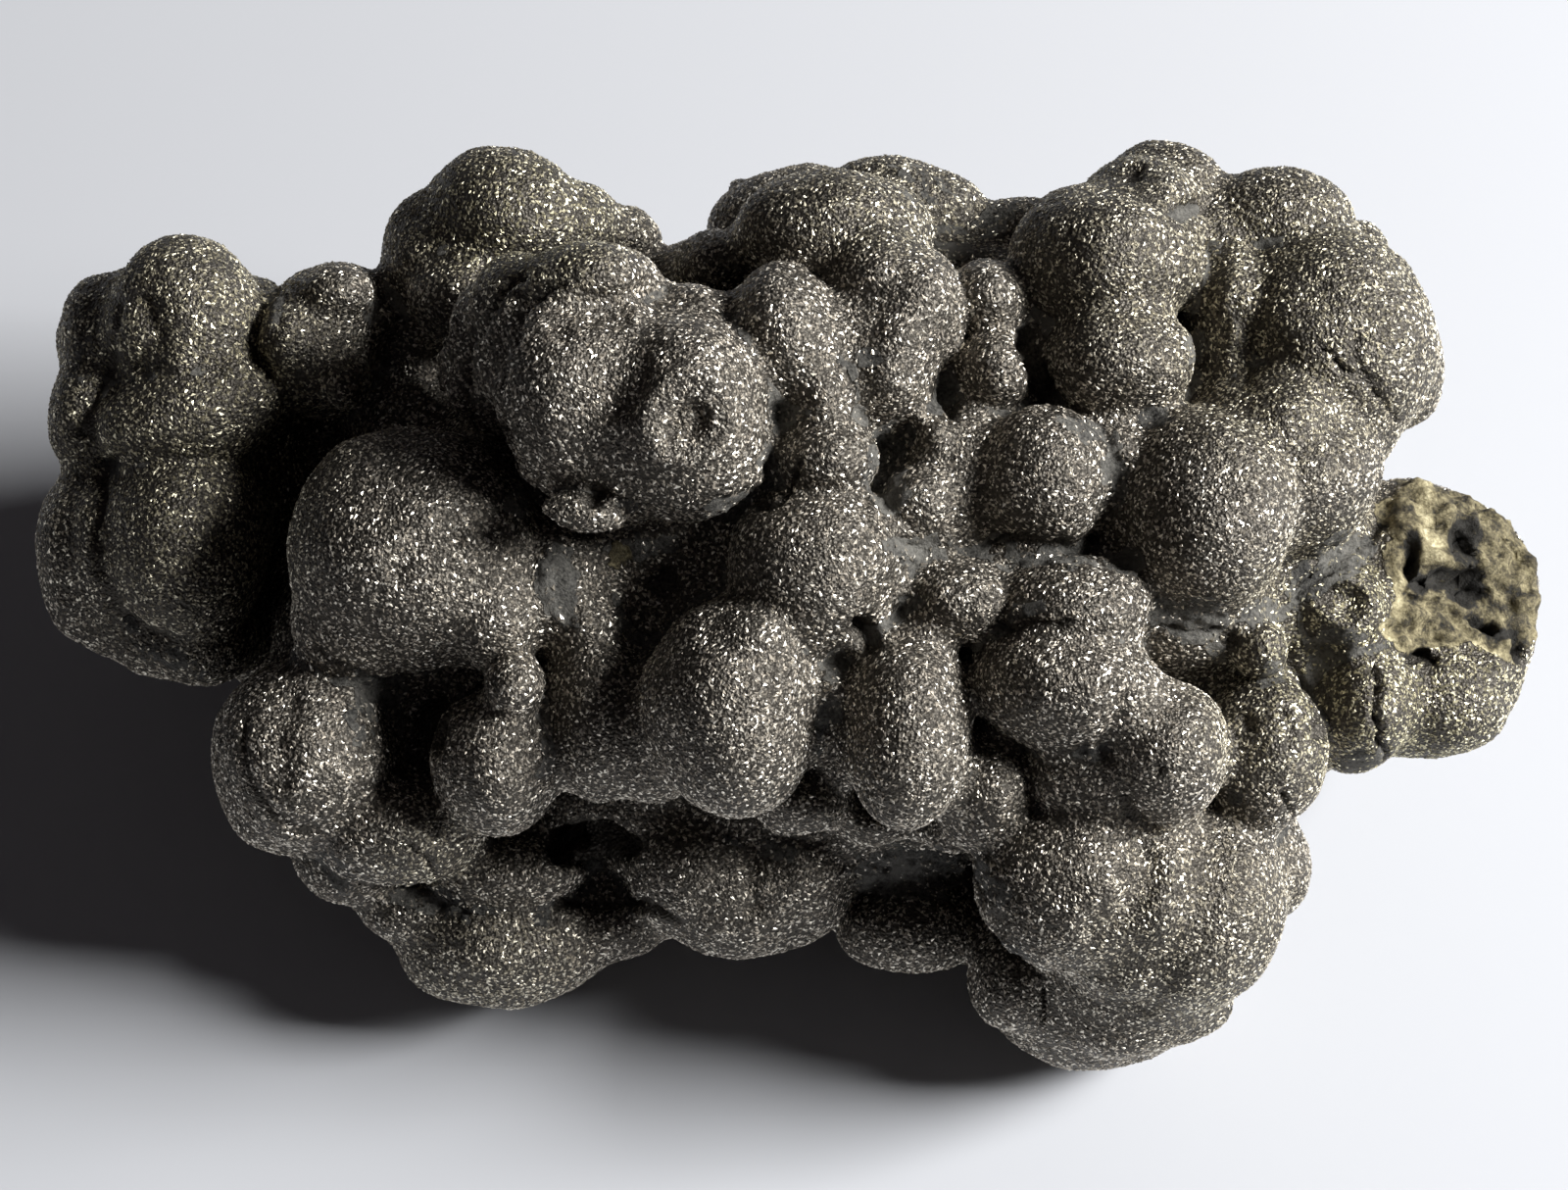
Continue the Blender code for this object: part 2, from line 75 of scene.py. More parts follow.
# Noise that keeps lobes, clay, borders and folds uneven: length in millimetres, strength and seed
UNEVEN_GROWTH = [(7.0, 0.55, 0.0), (4.4, 0.28, 0.0), (2.6, 0.16, 0.0), (1.1, 0.06, 0.0)]
CLAY_LUMPS = [(1.2, 0.26, 61.0), (0.55, 0.16, 61.0)]
CREASE_BORDER = [(1.5, 0.15, 0.0)]
RAGGED_FILM = [(0.8, 0.5, 53.0), (0.3, 0.25, 59.0)]
RAGGED_FRACTURE = [(1.3, 0.45, 41.0), (0.5, 0.25, 43.0)]
PATCHY_DRUSE = [(0.8, 0.22, 17.0)]
FOLD_DRIFT = [(2.6, 1.6, 31.0)]
FOLD_BREAKS = [(1.1, 0.45, 37.0)]
# How lines and borders wander: length and height in millimetres, and the seeds for across and up
WOBBLE = [(3.0, 0.5), (1.0, 0.3), (0.4, 0.1)]
WOBBLE_SEEDS = (11.0, 18.0)
# Clay that has run into the creases: rounds of filling, and the thickness where it starts and is full
CREASE_FILLING = 48
CREASE_SHOWS = (0.2, 0.5)
# Shares where a covering starts and is full, and the depths where a crack or pit is bare of crystals and
# its ore takes its full painted shade
COVERED = (0.3, 0.8)
BARE_CRACK = 0.3
BARE_PIT = 0.4
# Soft borders of ovals and pits and ends of paths, in shares of their size
OVAL_BORDER = 0.5
PIT_BORDER = 0.7
PATH_END = 0.12
# How far away cracks, valleys and ledges are worked out, in shares of their width or reach
CRACK_REACH = 4.0
VALLEY_REACH = 3.0
LEDGE_REACH = 4.0
# Width of the edge of a shell in millimetres, how far below it it is undercut, in shares of that width,
# and how deep, in shares of the shell's height
EDGE_WIDTH = 0.14
UNDERCUT_PLACE = 1.5
UNDERCUT = 0.4
# Folds: mean strength, sharpness of the ridges and how far they are sunk
FOLD_STRENGTH = 0.55
FOLD_SHARPNESS = 1.4
FOLD_SINK = 0.3
# The fracture: size of a crumb, height of the crumbs and of the chips on them, in millimetres
CRUMB = 2.1
FRACTURE_RELIEF = 1.2
CHIP_RELIEF = 0.15
# Level of the crumbs that stays in place, and how many times smaller the chips are
CRUMB_LEVEL = 0.45
CHIPS_PER_CRUMB = 2.7
# Shares between which the fracture's border is made ragged, and those where it then starts and is full
BORDER_BAND = (0.02, 0.98)
RAGGED_STEP = (0.3, 0.6)
# Rounds that soften the borders of the fracture, of its relief and of the brassy crystals
FRACTURE_SOFTENING = 6
RELIEF_SOFTENING = 14
BRASSY_SOFTENING = 10

# Round lobes of the show face, in millimetres: across, up, out, half width, half height,
# half depth, and a turn in degrees where it has one
LEFT_CLUSTER = dict(
    left_crown=(-39.7, 18.6, 2, 5.3, 5.7, 5.5),
    left_flange=(-45.2, 17.6, -2, 3.7, 4.7, 5.2),
    left_inner=(-31.2, 17.2, 0, 4, 5, 5.5),
    left_ridge=(-29.6, 20.5, 0, 2.9, 2.1, 3.5),
    left_shelf=(-39.6, 12.3, 2.5, 6.4, 3.5, 5, 12),
    left_rim=(-46.2, 12.5, -1, 3.1, 4.3, 5),
    left_belly=(-39.8, 4.2, 1, 5.7, 6.7, 7),
    left_heel=(-47, 3.5, -2, 3.4, 5.9, 5.5),
    left_sill=(-40.5, -2.6, -3, 5.1, 3, 5.5),
    left_toe=(-44.4, -1.1, -3, 3.4, 2.8, 5),
    left_root=(-36.6, -2.3, -9, 2.8, 3.5, 6),
    flange_join=(-43.5, 17.7, -0.8, 2.7, 5.1, 5.4),
    heel_join=(-44.9, 3.7, -1, 3.4, 5.8, 6.2),
)
BACK_LEFT = dict(
    back_left=(-18.8, 25.3, 0, 5.6, 4.6, 7),
    back_left_side=(-14.8, 24.7, -1.5, 4.1, 3.6, 5.5),
    back_left_knob=(-10.9, 24.5, -4, 2.2, 2.3, 4),
    back_left_step=(-21.3, 20.4, 1, 4, 3.2, 6),
    back_left_low=(-23.1, 23.2, -1.5, 4.2, 4.4, 6),
    back_left_flank=(-25.2, 18.6, -5, 3.2, 5.2, 6),
)
CROWN = dict(
    crown_base=(-9.6, 12.3, 14, 7.9, 7.2, 8.8),
    crown_left=(-13.1, 13.1, 15, 4.9, 6.7, 7.5, 6),
    crown_right=(-6.7, 11.7, 16.5, 5.5, 6.6, 7.5),
    crown_cap=(-12.4, 19.9, 14, 4.6, 2.7, 6, 4),
    crown_shoulder=(-6, 18.4, 13, 2.6, 1.9, 4),
    crown_shell_outer=(-18.6, 15.5, 9, 3.3, 5.2, 5, 10),
    crown_shell_inner=(-16.4, 16.8, 12, 3.5, 5.2, 5.5, 10),
    crown_flake=(-12.6, 5.6, 18.2, 2.8, 1.1, 2.5, -8),
)
BACK_MIDDLE = dict(
    finger=(-0.1, 16.5, 13.5, 3.6, 5.2, 5.5, 14),
    back_crest=(2.9, 23.6, 6, 6.8, 4.5, 7),
    back_tip=(-4.9, 21.9, 3, 2.7, 2.7, 5),
    back_cheek=(7.8, 18.4, 10.5, 3.3, 4.3, 5.5),
    back_chin=(6.1, 14.1, 12, 3.2, 3.2, 5.5),
    back_far=(8, 26.3, -3, 5.5, 3.7, 5, -12),
    back_far_left=(0.1, 26.3, -6, 5.4, 3.6, 5, 8),
    back_ridge=(15.8, 24.9, -2.5, 4.3, 2.1, 3.5),
    neck_upper=(12.9, 19.5, 9, 2.4, 2.4, 4),
    neck_lower=(13.1, 14.9, 11, 2.4, 2.4, 4),
    back_join=(5.6, 20.5, 8.5, 3.8, 3.9, 7),
    chin_join=(6.9, 16.2, 11.5, 2.8, 3.1, 5.5),
    finger_low=(2.1, 13, 13.5, 2.7, 2.8, 5),
)
BACK_RIGHT = dict(
    right_back=(20.6, 22, 7, 6.2, 5.1, 7),
    right_back_top=(25, 27.3, 0.5, 4.1, 3.2, 4.5),
    right_back_front=(21.4, 15.6, 9.5, 4.8, 3.9, 5.5),
    far_right_back=(32.3, 25.2, 1.5, 5, 3.6, 5.5),
    far_right=(35.1, 17.1, 3.5, 7.2, 7.6, 8.5),
    far_right_side=(40, 16.6, 1, 3.3, 5, 5),
    far_right_bump=(38, 22.8, -2, 2.1, 2.6, 4),
    right_front=(26.4, 5.9, 11, 5.6, 6.8, 7.5),
    right_front_side=(32.7, 8.2, 7.5, 5.6, 4.8, 6.5),
    button=(16.1, 7.8, 12.5, 4.3, 4.4, 5.5),
    right_back_join=(23.2, 25.3, 3.5, 4, 3.7, 7),
    far_right_join=(30.9, 11.2, 6, 5.2, 4.6, 8),
    far_right_valley=(28.7, 18.1, 3, 2.7, 5.9, 7),
    far_right_low=(36.5, 11.9, 2.6, 3.6, 4, 6.2),
    button_side=(21.3, 6, 8.5, 2.1, 4.9, 5.2),
)
CENTRE = dict(
    centre_small=(2.5, 9.1, 15.5, 3.1, 2.6, 4),
    centre_dome=(1.9, 2.2, 14, 5.6, 5.6, 7),
    egg_left=(-3.5, -6.4, 14, 5.6, 6.9, 8),
    egg_right=(7.4, -7.7, 14, 4.1, 6.8, 6.5),
    egg_right_top=(10.6, 0.2, 13.5, 3.5, 2.7, 5),
    saddle=(17.9, -0.4, 13, 5.1, 3.5, 6),
    boss=(17.8, -5.3, 13.5, 6.5, 4.2, 7, -10),
    boss_right=(23.3, -9.4, 12.3, 4.6, 4.7, 6.8),
    boss_left=(14.5, -4.6, 12, 3.2, 3.6, 6),
    boss_foot=(12.5, -11.7, 9.5, 3.5, 4, 5),
    drip=(1, -12.8, 8.5, 3.3, 2.1, 4.5),
    drip_middle=(5.7, -14.2, 6, 2.8, 1.7, 4),
    drip_right=(10.3, -14.8, 5.5, 2.2, 1.3, 3.5),
    right_low=(30.8, -9.7, 6.5, 4.1, 5.2, 6.5),
    boss_low=(20.4, -10.5, 10.5, 5.4, 3.9, 6.5),
    dome_to_egg=(-2.2, -2.4, 13, 3.6, 3.2, 8),
)
LOWER_RIGHT = dict(
    low_right_left=(18.3, -17.9, 8.5, 6.3, 5.7, 7.5),
    low_right_main=(26.4, -19.5, 4.5, 6, 7.3, 8.5, -15),
    low_right_front=(23, -23.8, 2, 7.3, 4.5, 6.5),
    low_right_under=(22.1, -26.6, -0.5, 7.6, 3.5, 6),
    low_right_corner=(15.1, -25, 0, 3.1, 3.5, 4.5),
    low_right_edge=(31.6, -17.1, 1, 2.9, 3.9, 5),
    low_right_join=(22.9, -18.3, 6.5, 4.6, 5.6, 8),
    low_right_blend=(22.1, -21.9, 4.8, 5.8, 4, 7),
)
LOWER_FRONT = dict(
    foot_right=(8.3, -21.6, -3, 5, 3.2, 5),
    foot_middle=(-3.2, -18.5, -1.5, 7.5, 4.9, 7.5),
    foot_middle_left=(-6.5, -17.3, 0.5, 4.2, 4.6, 6),
    foot_middle_right=(0.7, -17.8, 0, 3.7, 4.2, 6),
    foot_left=(-19.3, -22.4, -4, 7.6, 4.8, 7),
    foot_left_side=(-12.1, -21.6, -4, 4.3, 2.7, 4.5),
    foot_left_top=(-18.8, -17.7, 0, 5.2, 2.7, 4.5),
    foot_left_back=(-25, -20.4, -2.5, 4, 2.9, 4.5),
)
LEFT_MIDDLE = dict(
    cheek=(-23.8, 3.5, 9.5, 8.1, 7.7, 8.5),
    cheek_low_left=(-27.2, -0.9, 7, 5.1, 4.5, 7),
    cheek_low_right=(-19, -0.4, 10.5, 3.6, 3.8, 5.5),
    hip=(-31, -9.4, 5.2, 6, 6.3, 8.3),
    hip_rim=(-33.6, -10.1, 1, 4.2, 5.9, 6.5),
    knee=(-25.3, -14.5, 4.4, 5.8, 3.8, 6.4),
    knee_skirt=(-28.9, -17, 0, 3.9, 3, 4.5),
    thumb=(-18.5, -10.1, 9.5, 4.2, 4.8, 6.5),
    thumb_knob=(-17.2, -5.2, 12.5, 1.7, 2.1, 4),
    pocket_knob=(-12.8, -1.5, 10, 2.4, 2.3, 4),
    slope=(-12, -6.7, 8, 3.9, 6.1, 7),
    slope_right=(-8.6, -7.7, 8, 3.9, 5.3, 7.5),
    hip_blend=(-32.4, -9.8, 3.2, 5.1, 6.2, 7.4),
)
BROKEN_END = dict(
    broken_core=(42.6, -0.9, -5, 8.2, 9.4, 9),
    broken_druse=(36.2, -0.4, 3, 3.6, 3.3, 5),
    broken_druse_low=(37.7, -6.5, 1, 3.9, 4.5, 7),
    broken_low=(42.9, -6.1, -2.5, 5.1, 4.4, 6),
)
SMALL_KNOBS = dict(
    notch_knob=(-26.7, 18.7, 1, 1, 1, 1.8),
    crown_pip=(-39.5, 15.7, 6, 0.9, 0.9, 1.2),
    shelf_pip=(-36.2, 15.1, 5, 0.9, 0.9, 1.3),
    cleft_knob=(9.2, 10.7, 13.9, 1.2, 1.2, 1.8),
    small_button=(8.5, 6.3, 13.2, 2.5, 2.7, 3.8),
    corner_knob=(20.9, 9.6, 12.6, 1.2, 1.2, 2.2),
    clay_knob=(30, -2.7, 9.6, 1.7, 1.7, 2.4),
    egg_pip=(2.6, -5.1, 15.6, 0.9, 0.9, 1.6),
    back_nub=(-3.2, 28.6, -8, 0.9, 0.7, 1.3),
    ridge_nub=(18.7, 27, -5, 1.2, 1.2, 1.6),
    inner_knob_low=(-29, 14.4, 3.6, 1.7, 1.9, 2.6),
    inner_knob_left=(-32.4, 17.4, 3.4, 1.7, 2.3, 2.8),
    inner_knob_top=(-29.5, 20.3, 3.6, 2.2, 1.7, 2.4),
)
# The solid stone that the lobes grow on
STONE = dict(
    stone_left_end=(-40.6, 9.8, -8, 8.7, 12, 10),
    stone_middle=(-0.3, 3.7, -3, 29, 15.8, 16),
    stone_left=(-22, -2.9, -3, 12.5, 12, 11),
    stone_right=(24.9, 3.7, -4, 14.6, 18, 13),
    stone_back=(6.4, 19, -5, 19.9, 7, 11),
    stone_low=(1.1, -12.1, -3, 21.7, 7.2, 9),
    matrix_centre=(9, 9.3, 6, 5, 7.3, 7),
    matrix_right=(25.2, 0.4, 6, 5.7, 5.1, 7),
    matrix_left=(-14.5, 1, 7, 4.4, 5.1, 7),
    matrix_hip=(-28.7, -7, 2, 3.9, 3.2, 7),
    gully_floor=(-32.4, 9.3, -12, 6.5, 11.6, 8),
    hollow_floor=(-13, -17.7, -8, 5.4, 4, 7),
    matrix_back_right=(28, 22.3, -1, 2.9, 6.2, 7.5),
    matrix_back=(15.8, 14.9, 3, 4.8, 7.1, 7),
    matrix_eggs=(3, -6.2, 8, 2.8, 6.3, 7),
    matrix_low_right=(24.6, -17.8, 5, 3.8, 6.4, 8),
    matrix_upper=(4.2, 15, 8.5, 5.5, 6, 8),
    matrix_gully=(10.6, 7.6, 8, 4.4, 6, 7.5),
    matrix_broad=(8.5, 7.5, -1, 17, 12.5, 13),
    matrix_finger=(-1, 9.2, 9, 3.2, 4.8, 7),
    matrix_corner=(20.5, 10, 6, 4, 4.2, 7),
    matrix_saddle=(14.8, 2.8, 8, 5.5, 2.8, 6),
    matrix_dome=(8.8, 2.6, 9, 2.7, 2.7, 6.3),
    gully_floor_right=(-25, 11.5, -7, 5.5, 7, 9),
)
# Lobes of the hidden back and underside, in millimetres in the nodule's own frame:
# x, y, z, half size along x, y and z
BACK_AND_UNDER = dict(
    under_left=(-25, 1, 7.2, 9.5, 8.5, 8.3),
    under_middle=(-6, -5, 8.6, 11, 9, 9.2),
    under_right=(17, -8, 7.6, 10, 10, 8.4),
    under_far_right=(34, 2, 10.6, 8, 9, 9.5),
    under_back_left=(-17, 13, 9.4, 8, 8.5, 9.6),
    under_back=(2, 12, 8.2, 11, 9, 8.8),
    under_back_right=(21, 13, 9, 9.5, 8, 9.6),
    low_right_base=(21, -19, 8, 8.5, 8, 8.5),
    under_small_left=(-14.5, 3, 5.4, 4.5, 5.5, 5.2),
    under_small_middle=(8, 2.5, 6, 5, 6, 6.3),
    under_small_right=(27.5, -4.5, 6.6, 5, 5.5, 6.4),
    under_small_back=(-31, 9.5, 7.4, 5.5, 5.5, 6.8),
    back_wall_left_end=(-38, 17, 22, 7.5, 7, 9),
    back_wall_left_low=(-33, 13, 12, 7, 7, 8),
    back_wall_left=(-20, 20, 22, 8, 7, 9),
    back_wall_middle_left=(-8, 16, 19, 8.5, 7.5, 9),
    back_wall_middle=(5, 21.5, 21, 8, 7, 10),
    back_wall_right=(20, 21, 21, 8.5, 7, 10),
    back_wall_far_right=(33, 18.5, 22, 8, 8, 10),
    back_low_left=(-12, 20, 13, 6.5, 6, 7),
    back_low_middle=(13, 20, 13, 7, 6, 7.5),
    back_low_right=(30, 14, 12, 6.5, 6.5, 7),
    right_wall=(34, 12, 18, 6.5, 7, 8),
)
# The plane that the end lobe broke along: a point on it and its outward direction, on the show face
BREAK_POINT = (44.5, 0.5, 1.5)
BREAK_DIRECTION = (0.42, 0.10, 0.90)
# It lies right of this and between this top and bottom, with a soft border this wide
BREAK_ACROSS = 38.0
BREAK_TOP = 9.0
BREAK_BOTTOM = -5.5
BREAK_FEATHER = 3.5
# Size and height of the lumps on it
BREAK_LUMP = 3.0
BREAK_ROUGHNESS = 0.8
# Round hollows in the show face: across, up, out, radius, depth, height of the raised rim
HOLLOWS = dict(
    crown_crater=(-5.9, 11, 24, 2, 2, 0.5),
    crown_nub=(-6, 11.1, 22.2, 0.9, -1.3, 0),
    break_cavity_upper=(45, 2.5, 2, 1.7, 1.6, 0),
    break_cavity_left=(41, 2.8, 4, 1.4, 1.5, 0),
    break_cavity_low=(42, -3.3, 3, 1.8, 1.2, 0),
    druse_pit=(36.2, 0.1, 7.5, 1.8, 1.5, 0.2),
)

# Fine forms are set out as the eye sees them, in millimetres right of and above the picture's middle
# Cracks: half width, depth, points along them
CRACKS = dict(
    far_right=(0.16, 0.45,
        [(35.2, 17.2), (36.7, 15.8), (38.4, 14.7), (39.3, 13.6), (40.3, 12.5), (40.6, 11.5)]),
    far_right_notch=(0.2, 0.35, [(38, 18.3), (37.7, 16.8), (38.2, 15.5), (39.2, 14.6)]),
    right_low=(0.14, 0.6, [(33.1, -6.9), (33.4, -8.5), (33.2, -9.9)]),
    right_low_slit=(0.15, 0.6, [(32.4, -12.8), (33.6, -14.1)]),
    boss_foot=(0.24, 0.9, [(21.6, -12.8), (22.7, -13.9), (23.8, -14.5), (24.9, -14.8)]),
    low_corner=(0.12, 0.6, [(17.3, -25), (17.1, -26.4), (17, -27.9)]),
    broken_low=(0.2, 1, [(38.9, -3.6), (39.2, -5.5), (39.2, -7.4), (39.4, -9.4), (39.7, -11.5)]),
    broken_slit=(0.3, 1.2, [(40.8, -3.5), (42.1, -3.3), (43.4, -3.6)]),
    broken_rim=(0.2, 0.9, [(48.5, -1.6), (47.6, -2.2), (46.6, -1.6), (45.3, -0.8)]),
    knee=(0.12, 0.5, [(-25.5, -15.6), (-24.6, -16.7), (-23.6, -17.9)]),
    hip_groove=(0.26, 0.25,
        [(-35.3, -6.5), (-36.1, -8.4), (-36.3, -10.4), (-35.8, -12.4), (-34.4, -13.9),
         (-32.2, -14.7), (-30.5, -15.1)]),
    belly_crease=(0.3, 0.35,
        [(-43.5, 10.2), (-45.1, 9), (-45.7, 6.9), (-45.8, 4.4), (-45.6, 2), (-44.7, -0.3),
         (-42.6, -1.8), (-39.3, -2.5)]),
    flange_crease=(0.3, 0.35,
        [(-44.4, 21.1), (-44.8, 19), (-45, 16.7), (-45.5, 14.6), (-46.3, 13.3), (-46.5, 11.6),
         (-46, 10)]),
    foot_left=(0.25, 0.6,
        [(-16.2, -19.9), (-13.4, -19.7), (-11.3, -20), (-9.3, -19.8), (-7.4, -21),
         (-6.4, -21.9)]),
    fold_right=(0.22, 0.55, [(11.5, -16.3), (12.4, -18.2), (13.8, -20.7), (14.7, -22.5)]),
    egg_seam=(0.3, 0.8, [(4.2, -1.6), (5, -2.3), (6, -1.3)]),
    centre_ledge=(0.2, 0.8, [(-2.3, 6.2), (-0.9, 7), (0.1, 8.1), (1, 9.5)]),
    button_foot=(0.22, 0.6, [(11.8, 3.5), (13.4, 4.1), (15.8, 4.2), (18, 3.9), (19.9, 3.3), (22, 2.5)]),
    boss_top=(0.2, 0.45, [(13.8, -1), (15.4, -1.4), (17.7, -1.6), (19.3, -1)]),
    neck_gully=(0.5, 1.2, [(15.9, 18.6), (16.2, 16.7), (16.7, 14.6), (17.7, 12.8)]),
    clay_ledge_crack_upper=(0.18, 0.6,
        [(33.4, -0.1), (34.9, 1.3), (36.6, 2.7), (38.6, 4.4), (40.1, 5.6)]),
    clay_ledge_crack_lower=(0.16, 0.5, [(34, 0.9), (35.7, 2.6), (37.8, 4.2)]),
    clay_tongue=(0.16, 0.6, [(24.5, -1.6), (26.2, -2.1), (28.1, -2.2), (29.1, -1.6)]),
    under_right_low=(0.2, 0.7, [(33.5, -2.5), (34, -4.8), (34.8, -6.8), (35.5, -9.4)]),
    cheek_foot=(0.22, 0.5, [(-31.7, -2.2), (-29.9, -3.9), (-28, -5), (-26.2, -5.1), (-24.7, -4.7)]),
)
# Broad valleys between swellings of one lobe, in the same order
VALLEYS = dict(
    crown=(1.5, 0.65, [(-8.9, 21.6), (-9.3, 19.3), (-10.6, 16.7), (-11.2, 14.1), (-11.3, 11.5)]),
    crown_shell=(0.45, 0.5, [(-16.7, 22.4), (-19.3, 19.8), (-20.5, 17.2), (-20.8, 14.2), (-21, 11.1)]),
    crown_dome=(0.5, 0.55,
        [(-14.7, 21.4), (-17.3, 19.2), (-18.7, 16.5), (-19, 13.6), (-18.5, 10.8), (-17.3, 8.1)]),
    crown_cap=(0.9, 0.6, [(-15.9, 17.7), (-14.6, 19.2), (-12.3, 19.6), (-10, 19.2)]),
    cheek=(1.2, 0.5, [(-26.6, 1.7), (-24.4, 3.6), (-21.1, 4.6)]),
    low_right=(1, 0.6, [(23.5, -15.2), (24, -17.9), (22.5, -20.5), (19.3, -22.7)]),
    far_right=(1, 0.6, [(29.4, 20.6), (31, 17.7), (29.8, 14.1)]),
    boss=(0.9, 0.6, [(20.6, -10.4), (21.9, -8.4), (22.5, -5.5)]),
    foot_middle=(0.8, 0.6, [(-2.2, -15.9), (-2.5, -18.5), (-1.9, -21.1)]),
    hip=(0.9, 0.4, [(-32.8, -5.5), (-33.8, -8.7), (-33.5, -12.6)]),
    left_crown=(0.9, 0.5, [(-42.6, 20.6), (-42.1, 18), (-43.3, 15)]),
)
# Edges of overlapping shells: height, how far it reaches back, points along it, with the
# raised side on the left
LEDGES = dict(
    crown_shell=(0.6, 1.1,
        [(-15.5, 23.1), (-17.7, 21.2), (-19.5, 19.2), (-20.3, 16.8), (-20.7, 14.1), (-20.5, 11.5)]),
    crown_dome=(0.65, 1.3,
        [(-13.9, 21.5), (-16.4, 19.7), (-18, 17.3), (-18.7, 14.6), (-18.6, 12), (-17.9, 9.5),
         (-16.7, 7.2)]),
    crown_shell_outer=(0.85, 1.5,
        [(-17.9, 21.6), (-20.1, 20.7), (-21.8, 19), (-22.5, 17.2), (-22.5, 15.4), (-22, 13.4),
         (-21.5, 12.1)]),
    crown_foot=(0.45, 1, [(-15.9, 6.8), (-13.3, 7.4), (-10, 7), (-6.8, 6.8), (-3.8, 7.4), (-0.9, 9)]),
    flake=(0.45, 0.7, [(-15.8, 7), (-16.2, 6.1), (-14.6, 5.4), (-11.6, 5.1), (-9.6, 5.3)]),
    hip_rim=(0.3, 0.7,
        [(-37, -6.8), (-37.5, -9.4), (-37.3, -12.4), (-35.7, -14.3), (-32.8, -15.5),
         (-30.9, -15.6)]),
    hip_lamina_inner=(0.12, 0.35, [(-35.3, -12), (-33.8, -13.4), (-31.7, -14.1), (-29.9, -14.2)]),
    knee=(0.4, 0.8, [(-30.6, -16), (-28.1, -17.9), (-25, -18.4), (-21.9, -17.7), (-20.2, -16)]),
    skirt=(0.25, 0.6, [(-32.4, -16), (-30.6, -17.9), (-28.3, -19.4), (-26.3, -19.9)]),
    foot_ledge=(0.3, 0.7, [(-6.4, -21.1), (-9.4, -20.3), (-11.3, -20.5), (-13.4, -20.1), (-16, -20.4)]),
    low_right_lip=(0.35, 0.7, [(13.7, -21.9), (14.7, -22.8), (16, -23.7), (17.9, -24.5)]),
    low_right_step=(0.25, 0.9, [(19.2, -25.5), (21.9, -26.8), (25.1, -28), (27.9, -28.4)]),
    drip=(0.3, 0.8, [(-2.2, -14.5), (-0.3, -15.4), (2.1, -15.8), (3.8, -14.9)]),
    clay_sheet_right=(0.25, 0.6, [(-2.5, 7.6), (-1.2, 8.3), (-0.4, 9.9), (-0.3, 11.5)]),
    small_button_ring=(0.25, 0.5,
        [(7, 8.9), (6.3, 7.2), (6.6, 5.5), (7.9, 4.2), (10.2, 3.8), (11.7, 4.4)]),
    small_button_ring_outer=(0.2, 0.5, [(6.3, 9.5), (5.5, 7.2), (5.8, 5), (7.4, 3.3), (9.5, 2.7)]),
    back_crest_lip=(0.2, 0.7, [(8.2, 26.4), (5.6, 27.8), (2.3, 27.9), (-0.9, 27.1), (-3.6, 25.4)]),
    neck_waist=(0.2, 0.5, [(11.3, 17.9), (12.8, 17.3), (14.7, 17.3), (15.9, 18)]),
    shelf=(0.3, 0.8,
        [(-33.5, 12), (-34.9, 14.2), (-34.9, 16.2), (-33.9, 18.6), (-33.9, 21.1), (-34.8, 22.5)]),
    clay_layer_one=(0.22, 0.5, [(32.3, -1.6), (34.3, 0.3), (37, 2.3), (39.5, 4.4)]),
    clay_layer_two=(0.22, 0.5, [(33.7, 1.6), (35.6, 3.3), (37.8, 5), (39.6, 6.3)]),
    egg_right_under=(0.22, 0.6, [(5, -12.8), (6.6, -13.7), (8.9, -14.1), (10.7, -13.4)]),
)
# Small pits: across, up, half width, half height, depth
PITS = dict(
    crown_slit=(-7.8, 11.5, 0.4, 0.9, 0.4),
    slope_gap=(-13.2, -16, 3, 1.3, 2.6),
    thumb_gap=(-23.7, -7.9, 1.2, 2, 1.2),
    crown_flake_hollow=(-12.5, 7.3, 0.9, 0.7, 0.7),
    speck_pocket=(-8.2, 1.4, 1, 1, 0.8),
    neck_pocket=(10.7, 13.8, 0.6, 1.2, 1),
    thumb_ring=(-20.1, -9, 0.4, 0.4, 0.35),
    boss_hollow=(22.5, 3.1, 1.4, 0.8, 0.35),
    clay_knob_side=(29.8, -2.6, 0.4, 0.6, 0.6),
    right_low=(30.5, -7.9, 0.5, 0.6, 0.5),
    boss_right=(24.7, -11.2, 0.4, 0.4, 0.4),
    low_right=(22.4, -17.7, 0.7, 0.35, 0.5),
    boss_left=(19.4, -9.7, 0.45, 0.4, 0.4),
    right_top=(22.9, 28.5, 1.1, 0.5, 0.5),
    broken_druse=(36.1, 0.3, 0.7, 0.8, 0.7),
    broken_hole_one=(45.1, 4.2, 0.9, 1.7, 1.5),
    broken_hole_two=(45.3, 1, 1, 1.1, 1.4),
    broken_hole_three=(41.3, 2.9, 0.7, 1.7, 1.3),
    broken_hole_four=(43.3, 1.4, 2, 0.6, 1.2),
    broken_hole_five=(48.5, -3.1, 0.5, 0.8, 0.7),
    egg_gap=(5.2, -2.1, 0.8, 1.2, 1),
    ridge_pocket=(26.8, 26.2, 1.6, 0.8, 0.8),
)
